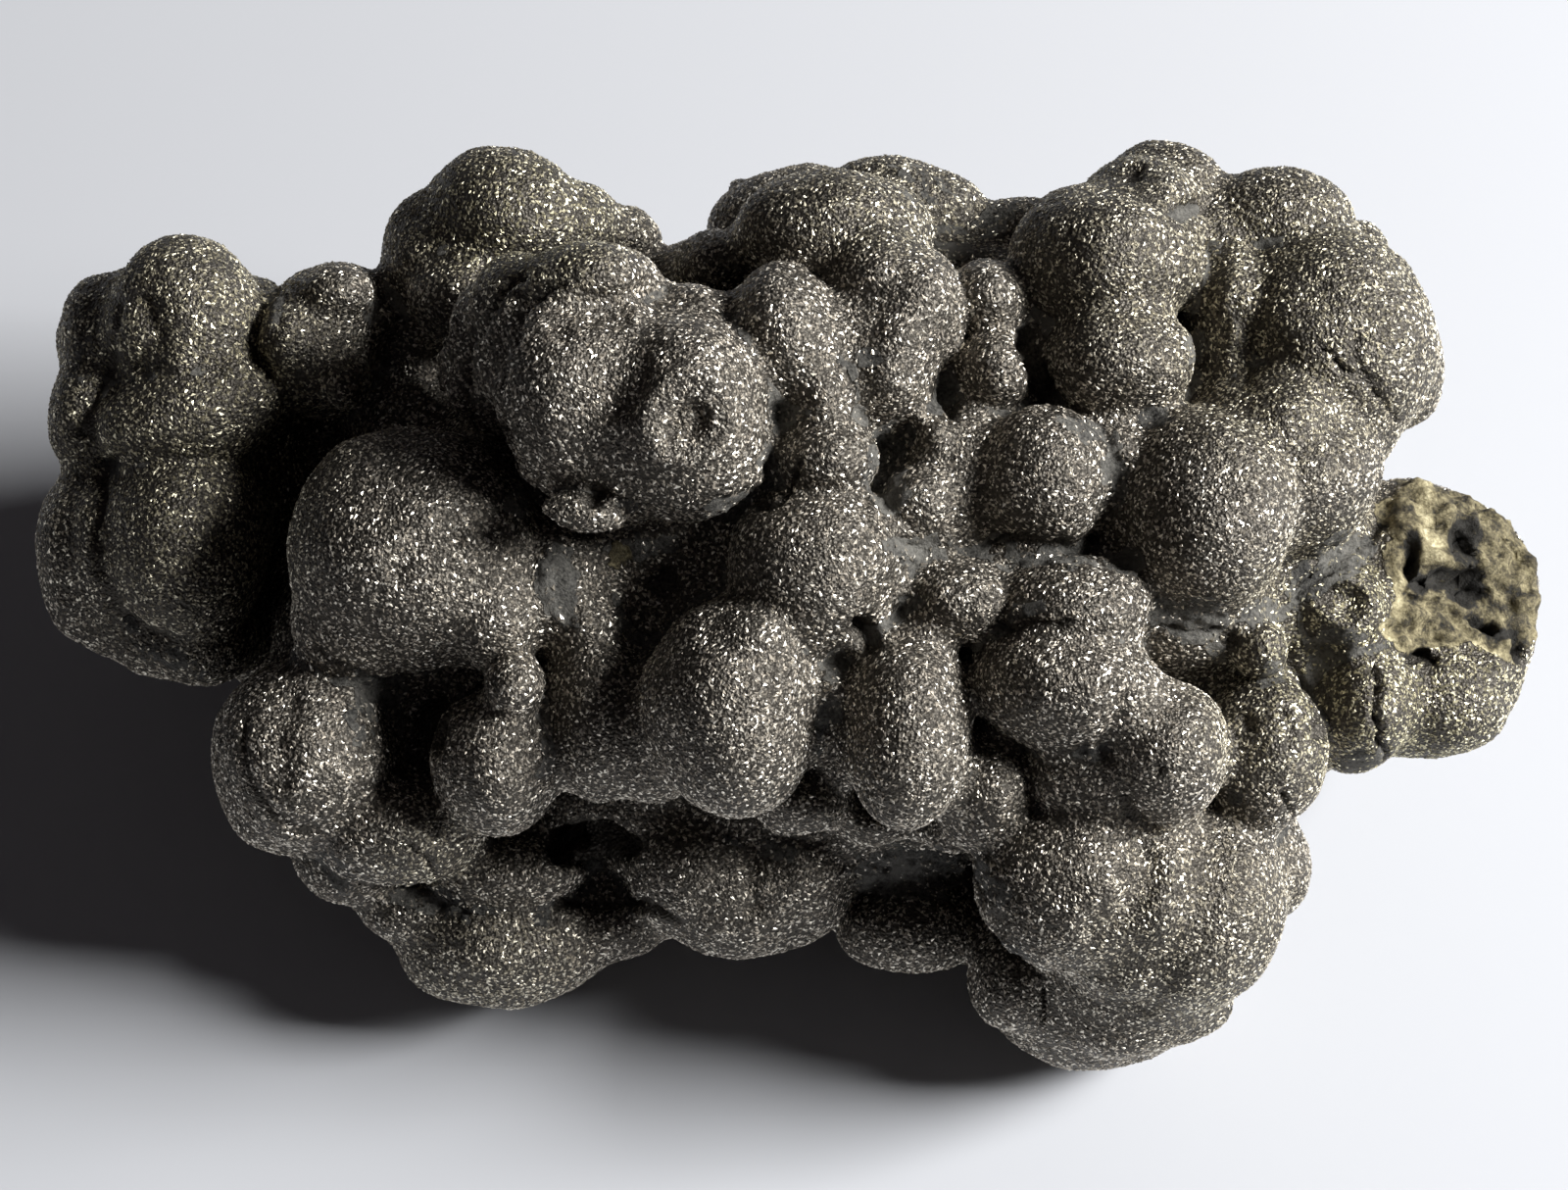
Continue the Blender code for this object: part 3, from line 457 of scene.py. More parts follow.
# Clay films: across, up, half width, half height, turn in degrees, how fully they cover
CLAY_FILMS = dict(
    left_crown_side=(-34.1, 19.8, 0.6, 1.8, 0, 0.8),
    left_inner_side=(-27.5, 19.4, 0.7, 1.4, 0, 0.7),
    left_sill=(-41, -3.6, 4.2, 1, -16, 0.6),
    flange=(-46.9, 16.7, 0.9, 3.6, -15, 0.5),
    cheek_corner=(-18, 6.9, 1.2, 1.1, 0, 1),
    cheek_side=(-15.1, 1.4, 1.6, 3.4, 8, 1),
    speck_bed=(-9.7, 3.9, 3, 1.1, 0, 0.8),
    crown_right_sliver=(-1.4, 9.1, 1, 1.9, 0, 1),
    crown_right_foot=(-3.8, 6.3, 2.4, 1.1, 25, 1),
    finger_patch=(0.5, 12.8, 0.9, 0.6, 0, 0.9),
    finger_side=(5.3, 16.3, 0.9, 1, 0, 0.9),
    slate_recess=(11.3, 23.3, 2.4, 1, -10, 0.8),
    back_far=(9.2, 27.8, 3.2, 1.4, -25, 0.55),
    back_ridge=(14.2, 25.3, 2.8, 1.4, 8, 0.6),
    wrinkled_middle=(6.6, 8.9, 1.7, 3.6, 0, 1),
    wrinkled_low=(8.5, 3.6, 2.6, 1, -8, 1),
    flat_left_of_saddle=(8.3, 0.1, 0.9, 0.8, 0, 1),
    flat_in_saddle=(16, -0.5, 1.5, 0.8, 0, 1),
    button_right=(21.8, 8.9, 0.8, 3.4, 0, 1),
    button_top=(19.5, 11.7, 1.8, 0.7, -25, 1),
    corner=(24.2, 12.2, 1.4, 0.8, 0, 1),
    right_back_side=(27.2, 17.1, 0.8, 1.6, 0, 1),
    right_back_upper=(28.4, 23.7, 0.9, 0.8, 0, 0.6),
    ridge_recess=(26.6, 26.1, 1.7, 0.8, 0, 1),
    far_right=(31.8, 24.2, 1.3, 0.6, 0, 0.8),
    far_right_low=(32.4, 17.1, 0.7, 0.7, 0, 0.6),
    band_under_button=(17.2, 3, 4.6, 0.7, -6, 0.9),
    boss_hollow=(22.5, 3, 1.6, 1.1, 0, 0.9),
    egg_gap=(3.1, -4.2, 0.9, 1.6, -12, 1),
    egg=(2.2, -7.4, 0.5, 1.4, 0, 0.9),
    clay_tongue=(26.8, -1.3, 2.9, 1.8, 0, 1),
    clay_layers=(36.2, 2.5, 4.4, 1.7, 40, 0.9),
    clay_right=(31.7, -0.6, 1.9, 1.2, 20, 1),
    clay_leaf=(32.3, -4.8, 1.1, 1.3, 0, 1),
    clay_leaf_small=(28.8, -3.3, 0.8, 1, 0, 1),
    broken_band=(36.6, -2.3, 2.5, 0.8, 0, 1),
    broken_base=(37.9, -10.6, 1.9, 0.7, 8, 1),
    low_right_patch=(29.8, -12.8, 0.9, 0.8, 30, 1),
    hip_side=(-28.5, -7.8, 1.4, 2.4, 0, 0.6),
    hip_top=(-27.6, -5.5, 2.8, 1, -8, 1),
    thumb_side=(-16.2, -10.4, 0.6, 1.6, 0, 0.9),
    skirt=(-29.9, -17.7, 2.4, 0.8, -38, 0.7),
    laminated=(-24, -19.8, 3.6, 1.4, -14, 0.7),
    foot_patch=(-16.4, -21, 0.8, 0.6, 0, 0.9),
    foot_middle=(-0.8, -16.2, 1.6, 0.8, 0, 1),
    drape=(8.1, -18, 4.6, 2.3, 0, 1),
    drape_right=(13.4, -18.5, 1.1, 2.6, 25, 0.7),
    low_corner=(15.2, -23.2, 1.4, 0.7, -35, 0.7),
)
# Folds and fine layers: across, up, half width, half height, turn, spacing, height, and the
# direction across them in degrees
FOLDS = dict(
    drape=(8.2, -18, 4.8, 2.4, 0, 0.95, 0.75, 78),
    drape_right=(13.6, -18.8, 1.9, 3.4, 25, 0.95, 0.45, 35),
    cheek_swirls=(-14.9, 1.2, 2, 3.4, 8, 0.85, 0.45, 25),
    clay_layer=(36.4, 2.5, 4.6, 1.9, 40, 0.7, 0.55, 125),
    middle=(6.6, 8.2, 1.8, 3.8, 0, 0.6, 0.24, 20),
    band=(17.2, 3, 5, 1, -6, 0.5, 0.22, 84),
    laminated=(-24, -19.7, 4.4, 1.7, -14, 0.6, 0.5, 66),
    tongue=(26.8, -1.6, 3, 1.9, 0, 0.9, 0.4, 60),
    crown_foot=(-4, 6.1, 2.6, 1.2, 25, 0.6, 0.24, 120),
    speck=(-9.7, 3.9, 3, 1.2, 0, 0.7, 0.2, 90),
    slate=(11.1, 23.5, 2.6, 1.2, -10, 0.8, 0.08, 75),
    foot_left_side_streaks=(-10.9, -22.1, 2.4, 1.9, 0, 0.45, 0.12, 82),
    foot_right_streaks=(7.9, -22.5, 4.4, 1.9, 0, 0.45, 0.1, 86),
    hip_rings=(-33.4, -13.7, 3.2, 1.8, -30, 0.45, 0.18, 60),
    foot_left_rings=(-21.8, -25, 4.2, 1.6, -12, 0.45, 0.16, 76),
    foot_middle_rings=(-2.5, -21.9, 5, 1.3, 0, 0.45, 0.16, 88),
    crown_shell_lines=(-21, 15, 1.8, 4.6, 8, 0.5, 0.16, 12),
    drip_lines=(5, -13.9, 4, 1.4, 0, 0.5, 0.1, 80),
)
# Where the crystals are brassy: across, up, half width, half height, turn, how strongly
BRASSY = dict(
    left_cluster=(-40, 12.8, 11, 17, 0, 0.75),
    back_left=(-18.5, 25.5, 9, 5.5, 0, 0.9),
    back_middle=(6.3, 26.4, 9, 4, 0, 0.5),
    far_right=(34.3, 19.3, 11, 12, 0, 0.6),
    right_back=(23.2, 23.8, 8, 9, 0, 0.5),
    broken_end=(40.1, -4.2, 11, 11, 0, 1),
    right_low=(31.7, -8.1, 5, 5, 0, 0.5),
    low_right=(27.8, -22.4, 9, 8, 0, 0.35),
    knee=(-23.7, -16.5, 4, 3, 0, 0.4),
    foot_left=(-19.8, -23.7, 7, 4, 0, 0.35),
)
# Outline of the bare fracture
FRACTURE_OUTLINE = [
    (40.8, 9), (44, 8.5), (46.8, 6.9), (48.9, 4.4), (50.2, 1.7), (50.4, -0.6), (49.4, -2.7),
    (48.3, -4.3), (45.3, -2.9), (43.3, -3.1), (40.8, -3.5), (39.3, -1.7), (40.6, 0.3), (39, 2.5),
    (40.2, 4.4), (38.8, 6.4), (40.1, 7.8),
]
# Bare speck of ore under the crown: across, up, half width, half height, turn, how strongly
GOLDEN_SPECK = dict(golden_speck=(-10.8, 3.3, 1, 1.2, 0, 1))
# Pale yellow veins in the fracture: across, up, half width, half height, turn, how strongly
VEINS = dict(
    vein_upper=(42.3, 6.1, 0.6, 2.4, 0, 1),
    vein_lump=(42.9, 3.6, 1.2, 1, 0, 1),
    vein_left=(40.7, 1.7, 0.5, 2.8, 0, 0.9),
    vein_corner=(39.8, -2.5, 0.8, 1.3, 20, 0.9),
    vein_rim=(45.3, -3.4, 2.8, 0.6, -6, 0.9),
    vein_middle=(45.7, 3, 0.9, 0.7, 0, 0.5),
)

# Colours: place on the ramp and colour
STONE_COLOURS = [(0.3, (0.038, 0.034, 0.029)), (0.7, (0.13, 0.117, 0.097))]
CLAY_COLOURS = [(0.38, (0.018, 0.017, 0.015)), (0.58, (0.155, 0.148, 0.130))]
ORE_COLOURS = [
    (0.36, (0.016, 0.014, 0.010)),
    (0.46, (0.085, 0.070, 0.037)),
    (0.55, (0.21, 0.178, 0.098)),
    (0.66, (0.37, 0.32, 0.185)),
    (0.80, (0.74, 0.66, 0.42)),
]
SILVERY = [(0.0, (0.26, 0.232, 0.192)), (0.5, (0.54, 0.49, 0.415)), (1.0, (0.97, 0.92, 0.81))]
BRASS = [(0.0, (0.22, 0.20, 0.135)), (0.5, (0.50, 0.46, 0.32)), (1.0, (0.94, 0.88, 0.64))]
FLOOR_COLOUR = (0.59, 0.602, 0.63, 1.0)
ROOM_COLOUR = (0.56, 0.51, 0.55, 1.0)

# Size of the fine, middle and broad patches of colour, of the grains and of the crumpling, in millimetres
PATCHES = (0.25, 0.9, 4.0)
GRAIN_SIZE = 0.22
CRUMPLE_SIZE = 0.8
# Octaves and roughness of the crumpling
CRUMPLE_DETAIL = 6.0
CRUMPLE_SHARPNESS = 0.72
# Soft borders of clay and fracture, how ragged the clay's is, and how the ore's grain is mixed
CLAY_BORDER = (0.66, 0.82)
CLAY_RAGGEDNESS = 0.5
FRACTURE_BORDER = (0.35, 0.65)
MIDDLE_GRAIN, FINE_GRAIN = 0.6, 0.4
# How much lighter a vein is, and how much painted shade darkens the ore in cracks and pits
VEIN_LIGHTER = 0.2
CAVITY_PAINTED_SHADE = 0.25
# Finish of bare stone, of what covers it, and of the dullest and glossiest crystals
STONE_METAL = 0.75
STONE_ROUGHNESS = 0.5
COVER_ROUGHNESS = 0.78
DULL_CRYSTAL, GLOSSY_CRYSTAL = 0.68, 0.42
FLOOR_ROUGHNESS = 0.9
# Fine relief: height in millimetres, and the shares of grains under a cover, of fine patches and of
# crumpling
RELIEF_HEIGHT = 0.12
COVERED_GRAINS = 0.1
FINE_RELIEF = 0.8
CRUMPLE_RELIEF = 3.2

# Crystal skin: name, crystals in each square millimetre, size in millimetres, random seed
DRUSE = [
    ("druse_a", 2.85, 0.14, 1),
    ("druse_b", 2.85, 0.165, 2),
    ("druse_c", 2.85, 0.195, 3),
    ("druse_d", 2.85, 0.155, 4),
    ("druse_e", 2.85, 0.225, 5),
]
# Each crystal shows a three-sided point: its height and how far it is sunk, in shares of its size, its
# lean, and the smallest and largest of them
POINT_HEIGHT = 0.42
POINT_SUNK = 0.12
POINT_LEAN = 0.55
SMALLEST_POINT, LARGEST_POINT = 0.6, 1.3
# Crystals left on clay, and lost on the underside
CRYSTALS_ON_CLAY = 0.16
LOST_UNDERNEATH = 0.5

# Lamp, room, floor and camera, in metres, watts and, for the camera's sensor, millimetres
LAMP_PLACE = (0.585, 0.008, 0.43)
LAMP_SIZE = 0.26
LAMP_ENERGY = 11.5
ROOM_STRENGTH = 0.055
FLOOR_HALF_SIZE = 1.5
SENSOR_WIDTH = 36.0


def face_axes():
    """Return the show face's across, up and out directions as columns."""
    across = Vector((1.0, 0.0, 0.0))
    up = Vector((0.0, math.sin(FACE_LEAN), math.cos(FACE_LEAN)))
    out = Vector((0.0, -math.cos(FACE_LEAN), math.sin(FACE_LEAN)))
    return Matrix((across, up, out)).transposed()


FACE = face_axes()
FACE_ROWS = np.array(FACE.transposed())


def on_face(across, up, out):
    """Return the place of a point of the show face, before the shift to the middle."""
    return FACE @ (Vector((across, up, out)) * MM) + Vector((0.0, 0.0, MIDDLE_HEIGHT))


def face_readings(points):
    """Return places as rows of millimetres across, up and out on the show face."""
    return (points - np.array((0.0, 0.0, MIDDLE_HEIGHT))) @ FACE_ROWS.T / MM


def fade(value, start, end):
    """Return 0 up to the start, 1 from the end on, and a soft step between."""
    share = np.clip((value - start) / (end - start), 0.0, 1.0)
    return share * share * (3.0 - 2.0 * share)


def mesh_from(bm, name):
    mesh = bpy.data.meshes.new(name)
    bm.to_mesh(mesh)
    bm.free()
    return mesh


def round_lobe():
    """Return a mesh of a ball of radius 1, which every lobe is a stretched copy of."""
    bm = bmesh.new()
    bmesh.ops.create_icosphere(bm, subdivisions=SPHERE_CUTS, radius=1.0)
    return mesh_from(bm, "round_lobe")


def add_lobe(bm, ball, centre, axes, half_sizes):
    lobe = ball.copy()
    shape = Matrix.Diagonal(Vector(half_sizes) * MM).to_4x4()
    lobe.transform(Matrix.Translation(centre) @ axes.to_4x4() @ shape)
    bm.from_mesh(lobe)
    bpy.data.meshes.remove(lobe)


def new_object(name, mesh):
    thing = bpy.data.objects.new(name, mesh)
    bpy.context.scene.collection.objects.link(thing)
    return thing


def apply_modifiers(thing):
    """Make the object's mesh the shape that its modifiers give."""
    depsgraph = bpy.context.evaluated_depsgraph_get()
    shaped = bpy.data.meshes.new_from_object(thing.evaluated_get(depsgraph))
    thing.modifiers.clear()
    old = thing.data
    thing.data = shaped
    bpy.data.meshes.remove(old)


def fused_lobes():
    """Return one object whose mesh is the closed skin round all the lobes."""
    bm = bmesh.new()
    ball = round_lobe()
    groups = [LEFT_CLUSTER, BACK_LEFT, CROWN, BACK_MIDDLE, BACK_RIGHT, CENTRE]
    groups += [LOWER_RIGHT, LOWER_FRONT, LEFT_MIDDLE, BROKEN_END, SMALL_KNOBS, STONE]
    for lobes in groups:
        for across, up, out, half_width, half_height, half_depth, *turn in lobes.values():
            spin = Matrix.Rotation(math.radians(sum(turn)), 3, "Z")
            half_sizes = (half_width, half_height, half_depth)
            add_lobe(bm, ball, on_face(across, up, out), FACE @ spin, half_sizes)
    for x, y, z, half_x, half_y, half_z in BACK_AND_UNDER.values():
        add_lobe(bm, ball, Vector((x, y, z)) * MM, Matrix.Identity(3), (half_x, half_y, half_z))
    body = new_object("pyrite_body", mesh_from(bm, "pyrite_body"))
    remesh = body.modifiers.new("fuse", "REMESH")
    remesh.mode = "VOXEL"
    remesh.voxel_size = VOXEL
    smooth = body.modifiers.new("soften", "SMOOTH")
    smooth.factor = 0.5
    smooth.iterations = SOFTENING
    apply_modifiers(body)
    return body


def rows_of(items, name, width, kind=float):
    """Return one property of all the mesh's vertices or edges as rows of numbers."""
    values = np.zeros(len(items) * width, dtype=kind)
    items.foreach_get(name, values)
    return values.reshape(-1, width)


def places_of(mesh):
    return rows_of(mesh.vertices, "co", 3)


def normals_of(mesh):
    return rows_of(mesh.vertex_normals, "vector", 3)


def edges_of(mesh):
    return rows_of(mesh.edges, "vertices", 2, np.int64)


def put_places(mesh, places):
    mesh.vertices.foreach_set("co", places.ravel())
    mesh.update()


def smoothed(values, ends, rounds, share=0.5):
    """Return the values after each vertex has moved towards its neighbours' mean, round after round."""
    count = len(values)
    links = np.bincount(ends.ravel(), minlength=count).clip(1)
    flat = values.reshape(count, -1).copy()
    for _round in range(rounds):
        for column in range(flat.shape[1]):
            part = flat[:, column]
            total = np.bincount(ends[:, 0], weights=part[ends[:, 1]], minlength=count)
            total += np.bincount(ends[:, 1], weights=part[ends[:, 0]], minlength=count)
            flat[:, column] = part + share * (total / links - part)
    return flat.reshape(values.shape)


def noise_at(points, length, seed):
    """Return soft noise from -1 to 1 at each point, with bumps of that length in millimetres."""
    scaled = points / (length * MM) + seed
    return np.array([noise.noise(Vector(point)) for point in scaled])


def waves(points, layers):
    """Return the sum of some layers of noise at each point."""
    return sum(height * noise_at(points, length, seed) for length, height, seed in layers)


def grow_unevenly(mesh):
    """Swell and shrink the skin a little, as the lobes did not grow evenly."""
    places = places_of(mesh)
    swell = waves(places, UNEVEN_GROWTH)
    put_places(mesh, places + normals_of(mesh) * (swell * MM)[:, None])


def press_hollows(mesh):
    """Press each round hollow into the show face and raise its rim."""
    places = places_of(mesh)
    inward = -np.array(FACE.col[2])
    for across, up, out, radius, depth, rim in HOLLOWS.values():
        middle = np.array(on_face(across, up, out))
        away = np.linalg.norm(places - middle, axis=1) / (radius * MM)
        dent = np.where(away < 1.0, depth * (1.0 - np.minimum(away, 1.0) ** 2) ** 2, 0.0)
        lip = np.where((away > 1.0) & (away < 2.0), rim * np.sin((away - 1.0) * math.pi) ** 2, 0.0)
        places += inward * ((dent - lip) * MM)[:, None]
    put_places(mesh, places)


def break_end(mesh):
    """Flatten the end lobe to the rough plane that it broke along."""
    places = places_of(mesh)
    across, up, _out = face_readings(places).T
    direction = np.array((FACE @ Vector(BREAK_DIRECTION)).normalized())
    height = (places - np.array(on_face(*BREAK_POINT))) @ direction
    share = fade(across - BREAK_ACROSS, 0.0, BREAK_FEATHER) * fade(BREAK_TOP - up, 0.0, BREAK_FEATHER)
    share = share * fade(up - BREAK_BOTTOM, 0.0, BREAK_FEATHER)
    lump = np.array([noise.fractal(Vector(place / (BREAK_LUMP * MM)), 1.0, 2.0, 3) for place in places])
    drop = np.maximum(height - lump * BREAK_ROUGHNESS * MM, 0.0) * share * (height > 0.0)
    put_places(mesh, places - direction * drop[:, None])


def store(mesh, name, values):
    attribute = mesh.attributes.new(name, "FLOAT", "POINT")
    attribute.data.foreach_set("value", values.astype(np.float32))


def fill_creases(mesh):
    """Let clay run into the creases between lobes, and return how thick it is, in millimetres."""
    start = places_of(mesh)
    ends = edges_of(mesh)
    places = start.copy()
    for _round in range(CREASE_FILLING):
        step = smoothed(places, ends, 1) - places
        normals = normals_of(mesh)
        places += step * ((step * normals).sum(axis=1) > 0.0)[:, None]
        put_places(mesh, places)
    return np.linalg.norm(places - start, axis=1) / MM


def picture_places(points):
    """Return where the eye sees each point, in millimetres right of and above the picture's middle."""
    across, up, out = face_readings(points).T
    scale = EYE_DISTANCE / (EYE_DISTANCE - out)
    return np.stack((across * scale, up * scale), axis=1)


def seen_share(mesh):
    """Return 1 where the eye sees the skin and 0 where it is turned away or hidden."""
    places = places_of(mesh)
    to_eye = np.array(on_face(0.0, 0.0, EYE_DISTANCE)) - places
    to_eye /= np.linalg.norm(to_eye, axis=1)[:, None]
    facing = (normals_of(mesh) * to_eye).sum(axis=1) > EDGE_ON
    bm = bmesh.new()
    bm.from_mesh(mesh)
    tree = BVHTree.FromBMesh(bm)
    bm.free()
    starts = places + to_eye * SIGHT_GAP
    seen = np.zeros(len(places))
    for index in np.nonzero(facing)[0]:
        hit = tree.ray_cast(Vector(starts[index]), Vector(to_eye[index]))
        seen[index] = hit[0] is None
    return smoothed(seen, edges_of(mesh), SEEN_BORDER)


def wobbled(spots, places):
    """Return the picture places shifted a little by noise, so that no line or border runs straight."""
    shifted = spots.copy()
    for column, seed in enumerate(WOBBLE_SEEDS):
        for length, height in WOBBLE:
            shifted[:, column] += height * noise_at(places, length, seed)
    return shifted


def oval_share(spots, across, up, half_width, half_height, turn, border=OVAL_BORDER):
    """Return 1 inside an oval of the picture and 0 outside it, with a soft border."""
    angle = math.radians(turn)
    right = spots[:, 0] - across
    above = spots[:, 1] - up
    along = (right * math.cos(angle) + above * math.sin(angle)) / half_width
    beside = (above * math.cos(angle) - right * math.sin(angle)) / half_height
    return 1.0 - fade(np.hypot(along, beside), 1.0 - border, 1.0 + 0.5 * border)


def near_path(spots, points):
    """Return how far each spot is from the path, negative on its right, and how far along it."""
    distance = np.full(len(spots), np.inf)
    progress = np.zeros(len(spots))
    corners = [np.array(point) for point in points]
    lengths = [np.linalg.norm(end - start) for start, end in zip(corners[:-1], corners[1:])]
    run = 0.0
    for start, end, length in zip(corners[:-1], corners[1:], lengths):
        step = end - start
        share = np.clip((spots - start) @ step / length ** 2, 0.0, 1.0)
        gap = spots - start - share[:, None] * step
        away = np.linalg.norm(gap, axis=1)
        left = step[0] * gap[:, 1] - step[1] * gap[:, 0] > 0.0
        nearer = away < np.abs(distance)
        distance = np.where(nearer, np.where(left, away, -away), distance)
        progress = np.where(nearer, (run + share * length) / sum(lengths), progress)
        run += length
    return distance, progress


def spots_around(spots, points, reach):
    """Return the numbers of the spots in the box round the points."""
    low = np.min(points, axis=0) - reach
    high = np.max(points, axis=0) + reach
    return np.nonzero(((spots > low) & (spots < high)).all(axis=1))[0]


def open_ends(progress):
    """Return 1 along a path and a fade to 0 at both its ends."""
    return fade(progress, 0.0, PATH_END) * fade(1.0 - progress, 0.0, PATH_END)


def groove_depth(spots, grooves, widths):
    """Return how deep the grooves cut, in millimetres, as far out as that many of their half widths."""
    depth = np.zeros(len(spots))
    for half_width, deepest, points in grooves.values():
        near = spots_around(spots, points, widths * half_width)
        distance, progress = near_path(spots[near], points)
        cut = deepest * np.exp(-(distance / half_width) ** 2) * open_ends(progress)
        depth[near] = np.maximum(depth[near], cut)
    return depth


def shell_height(spots):
    """Return how far the edges of overlapping shells stand out, in millimetres."""
    height = np.zeros(len(spots))
    for rise, reach, points in LEDGES.values():
        near = spots_around(spots, points, LEDGE_REACH * reach)
        distance, progress = near_path(spots[near], points)
        raised = fade(distance, -EDGE_WIDTH, EDGE_WIDTH) * np.exp(-np.maximum(distance, 0.0) / reach)
        shadow = np.exp(-((distance + UNDERCUT_PLACE * EDGE_WIDTH) / EDGE_WIDTH) ** 2)
        height[near] += rise * (raised - UNDERCUT * shadow) * open_ends(progress)
    return height


def pit_depth(spots):
    """Return how deep the small pits are, in millimetres."""
    depth = np.zeros(len(spots))
    for across, up, half_width, half_height, deepest in PITS.values():
        depth += deepest * oval_share(spots, across, up, half_width, half_height, 0.0, PIT_BORDER)
    return depth


def fold_height(spots, places):
    """Return how far the folds of clay sheets and the fine layers stand out, in millimetres."""
    drift = waves(places, FOLD_DRIFT)
    strength = FOLD_STRENGTH + waves(places, FOLD_BREAKS)
    height = np.zeros(len(spots))
    for across, up, half_width, half_height, turn, spacing, rise, direction in FOLDS.values():
        share = oval_share(spots, across, up, half_width, half_height, turn)
        angle = math.radians(direction)
        phase = (spots[:, 0] * math.cos(angle) + spots[:, 1] * math.sin(angle)) / spacing + drift
        ridge = (1.0 - np.abs(np.sin(math.pi * phase))) ** FOLD_SHARPNESS
        height += rise * share * (ridge - FOLD_SINK) * strength
    return height


def strongest(spots, ovals):
    """Return the strongest of the named ovals at each spot."""
    share = np.zeros(len(spots))
    for across, up, half_width, half_height, turn, strength in ovals.values():
        oval = oval_share(spots, across, up, half_width, half_height, turn)
        share = np.maximum(share, strength * oval)
    return share


def inside_outline(spots, points):
    """Return 1 for the spots inside the closed outline and 0 for the others."""
    inside = np.zeros(len(spots), dtype=bool)
    for start, end in zip(points, points[1:] + points[:1]):
        level = (start[1] > spots[:, 1]) != (end[1] > spots[:, 1])
        rise = end[1] - start[1] if end[1] != start[1] else 1.0
        crossing = start[0] + (spots[:, 1] - start[1]) / rise * (end[0] - start[0])
        inside ^= level & (spots[:, 0] < crossing)
    return inside.astype(float)


def roughen_fracture(places, normals, share):
    """Return the places of the fracture with ridges, crumbs and cavities worked in."""
    for index in np.nonzero(share > TRACE)[0]:
        spot = Vector(places[index]) / (CRUMB * MM)
        rough = noise.turbulence(spot, 3, True) - CRUMB_LEVEL
        chip = noise.noise(spot * CHIPS_PER_CRUMB)
        relief = FRACTURE_RELIEF * rough + CHIP_RELIEF * chip
        places[index] += normals[index] * relief * share[index] * MM
    return places


def ragged_edge(share, places):
    """Return the share with a ragged border in place of a straight one."""
    inner, outer = BORDER_BAND
    border = np.nonzero((share > inner) & (share < outer))[0]
    ragged = share.copy()
    ragged[border] += waves(places[border], RAGGED_FRACTURE)
    return fade(ragged, *RAGGED_STEP)


def work_fine_forms(mesh):
    """Work the fine forms into the seen side, and return what each vertex is covered with."""
    places = places_of(mesh)
    normals = normals_of(mesh)
    seen = seen_share(mesh)
    here = np.nonzero(seen > TRACE)[0]
    spots = wobbled(picture_places(places[here]), places[here])
    cracks = groove_depth(spots, CRACKS, CRACK_REACH)
    pits = pit_depth(spots)
    rise = shell_height(spots) + fold_height(spots, places[here]) - cracks - pits
    rise = rise - groove_depth(spots, VALLEYS, VALLEY_REACH)
    places[here] += normals[here] * (rise * seen[here] * MM)[:, None]
    cover = {name: np.zeros(len(places)) for name in ("clay", "sunk", "broken", "brassy", "vein")}
    film = strongest(spots, CLAY_FILMS) * seen[here]
    ragged = waves(places[here], RAGGED_FILM)
    cover["clay"][here] = fade(film + ragged, *COVERED) * (film > FILM_TRACE)
    # How sunk the cracks and pits are: it keeps them bare of crystals and darkens the ore there with
    # painted shade
    cover["sunk"][here] = np.clip(cracks / BARE_CRACK + pits / BARE_PIT, 0.0, 1.0)
    cover["brassy"][here] = strongest(spots, BRASSY)
    cover["vein"][here] = strongest(spots, VEINS)
    ore = np.maximum(inside_outline(spots, FRACTURE_OUTLINE), strongest(spots, GOLDEN_SPECK))
    cover["broken"][here] = ore * seen[here]
    ends = edges_of(mesh)
    cover["broken"] = ragged_edge(smoothed(cover["broken"], ends, FRACTURE_SOFTENING), places)
    cover["brassy"] = smoothed(cover["brassy"], ends, BRASSY_SOFTENING)
    rough_share = smoothed(cover["broken"], ends, RELIEF_SOFTENING) ** 2
    put_places(mesh, roughen_fracture(places, normals, rough_share))
    return cover


def thin_out(body):
    """Keep small triangles only where the shape needs them."""
    count = sum(len(polygon.vertices) - 2 for polygon in body.data.polygons)
    fewer = body.modifiers.new("fewer", "DECIMATE")
    fewer.ratio = min(BODY_TRIANGLES / count, 1.0)
    apply_modifiers(body)


def nodule_body():
    """Return the nodule without its crystals, with its coverings and its crystal cover stored on it."""
    body = fused_lobes()
    mesh = body.data
    grow_unevenly(mesh)
    film = fill_creases(mesh)
    press_hollows(mesh)
    break_end(mesh)
    cover = work_fine_forms(mesh)
    places = places_of(mesh)
    places += np.array((*MIDDLE_SHIFT, 0.0)) * MM
    places[:, 2] = np.maximum(places[:, 2], 0.0)
    put_places(mesh, places)
    creases = fade(film + waves(places, CREASE_BORDER), *CREASE_SHOWS)
    clay = np.maximum(creases, cover["clay"]) * (1.0 - cover["broken"])
    cover["clay"] = clay
    resting = (places[:, 2] < RESTING_HEIGHT).astype(float)
    lumps = waves(places, CLAY_LUMPS)
    put_places(mesh, places + normals_of(mesh) * (lumps * clay * (1.0 - resting) * MM)[:, None])
    for name, values in cover.items():
        store(mesh, name, values)
    druse = np.maximum(1.0 - fade(clay + waves(places, PATCHY_DRUSE), *COVERED), CRYSTALS_ON_CLAY)
    druse *= (1.0 - fade(cover["broken"], *COVERED)) * (1.0 - cover["sunk"]) * (1.0 - resting)
    below = fade(-normals_of(mesh)[:, 2], *COVERED)
    store(mesh, "druse", druse * (1.0 - LOST_UNDERNEATH * below))
    thin_out(body)
    body.data.shade_smooth()
    return body


# The crystal skin


def add_node(tree, kind, **settings):
    node = tree.nodes.new(kind)
    for name, value in settings.items():
        setattr(node, name, value)
    return node


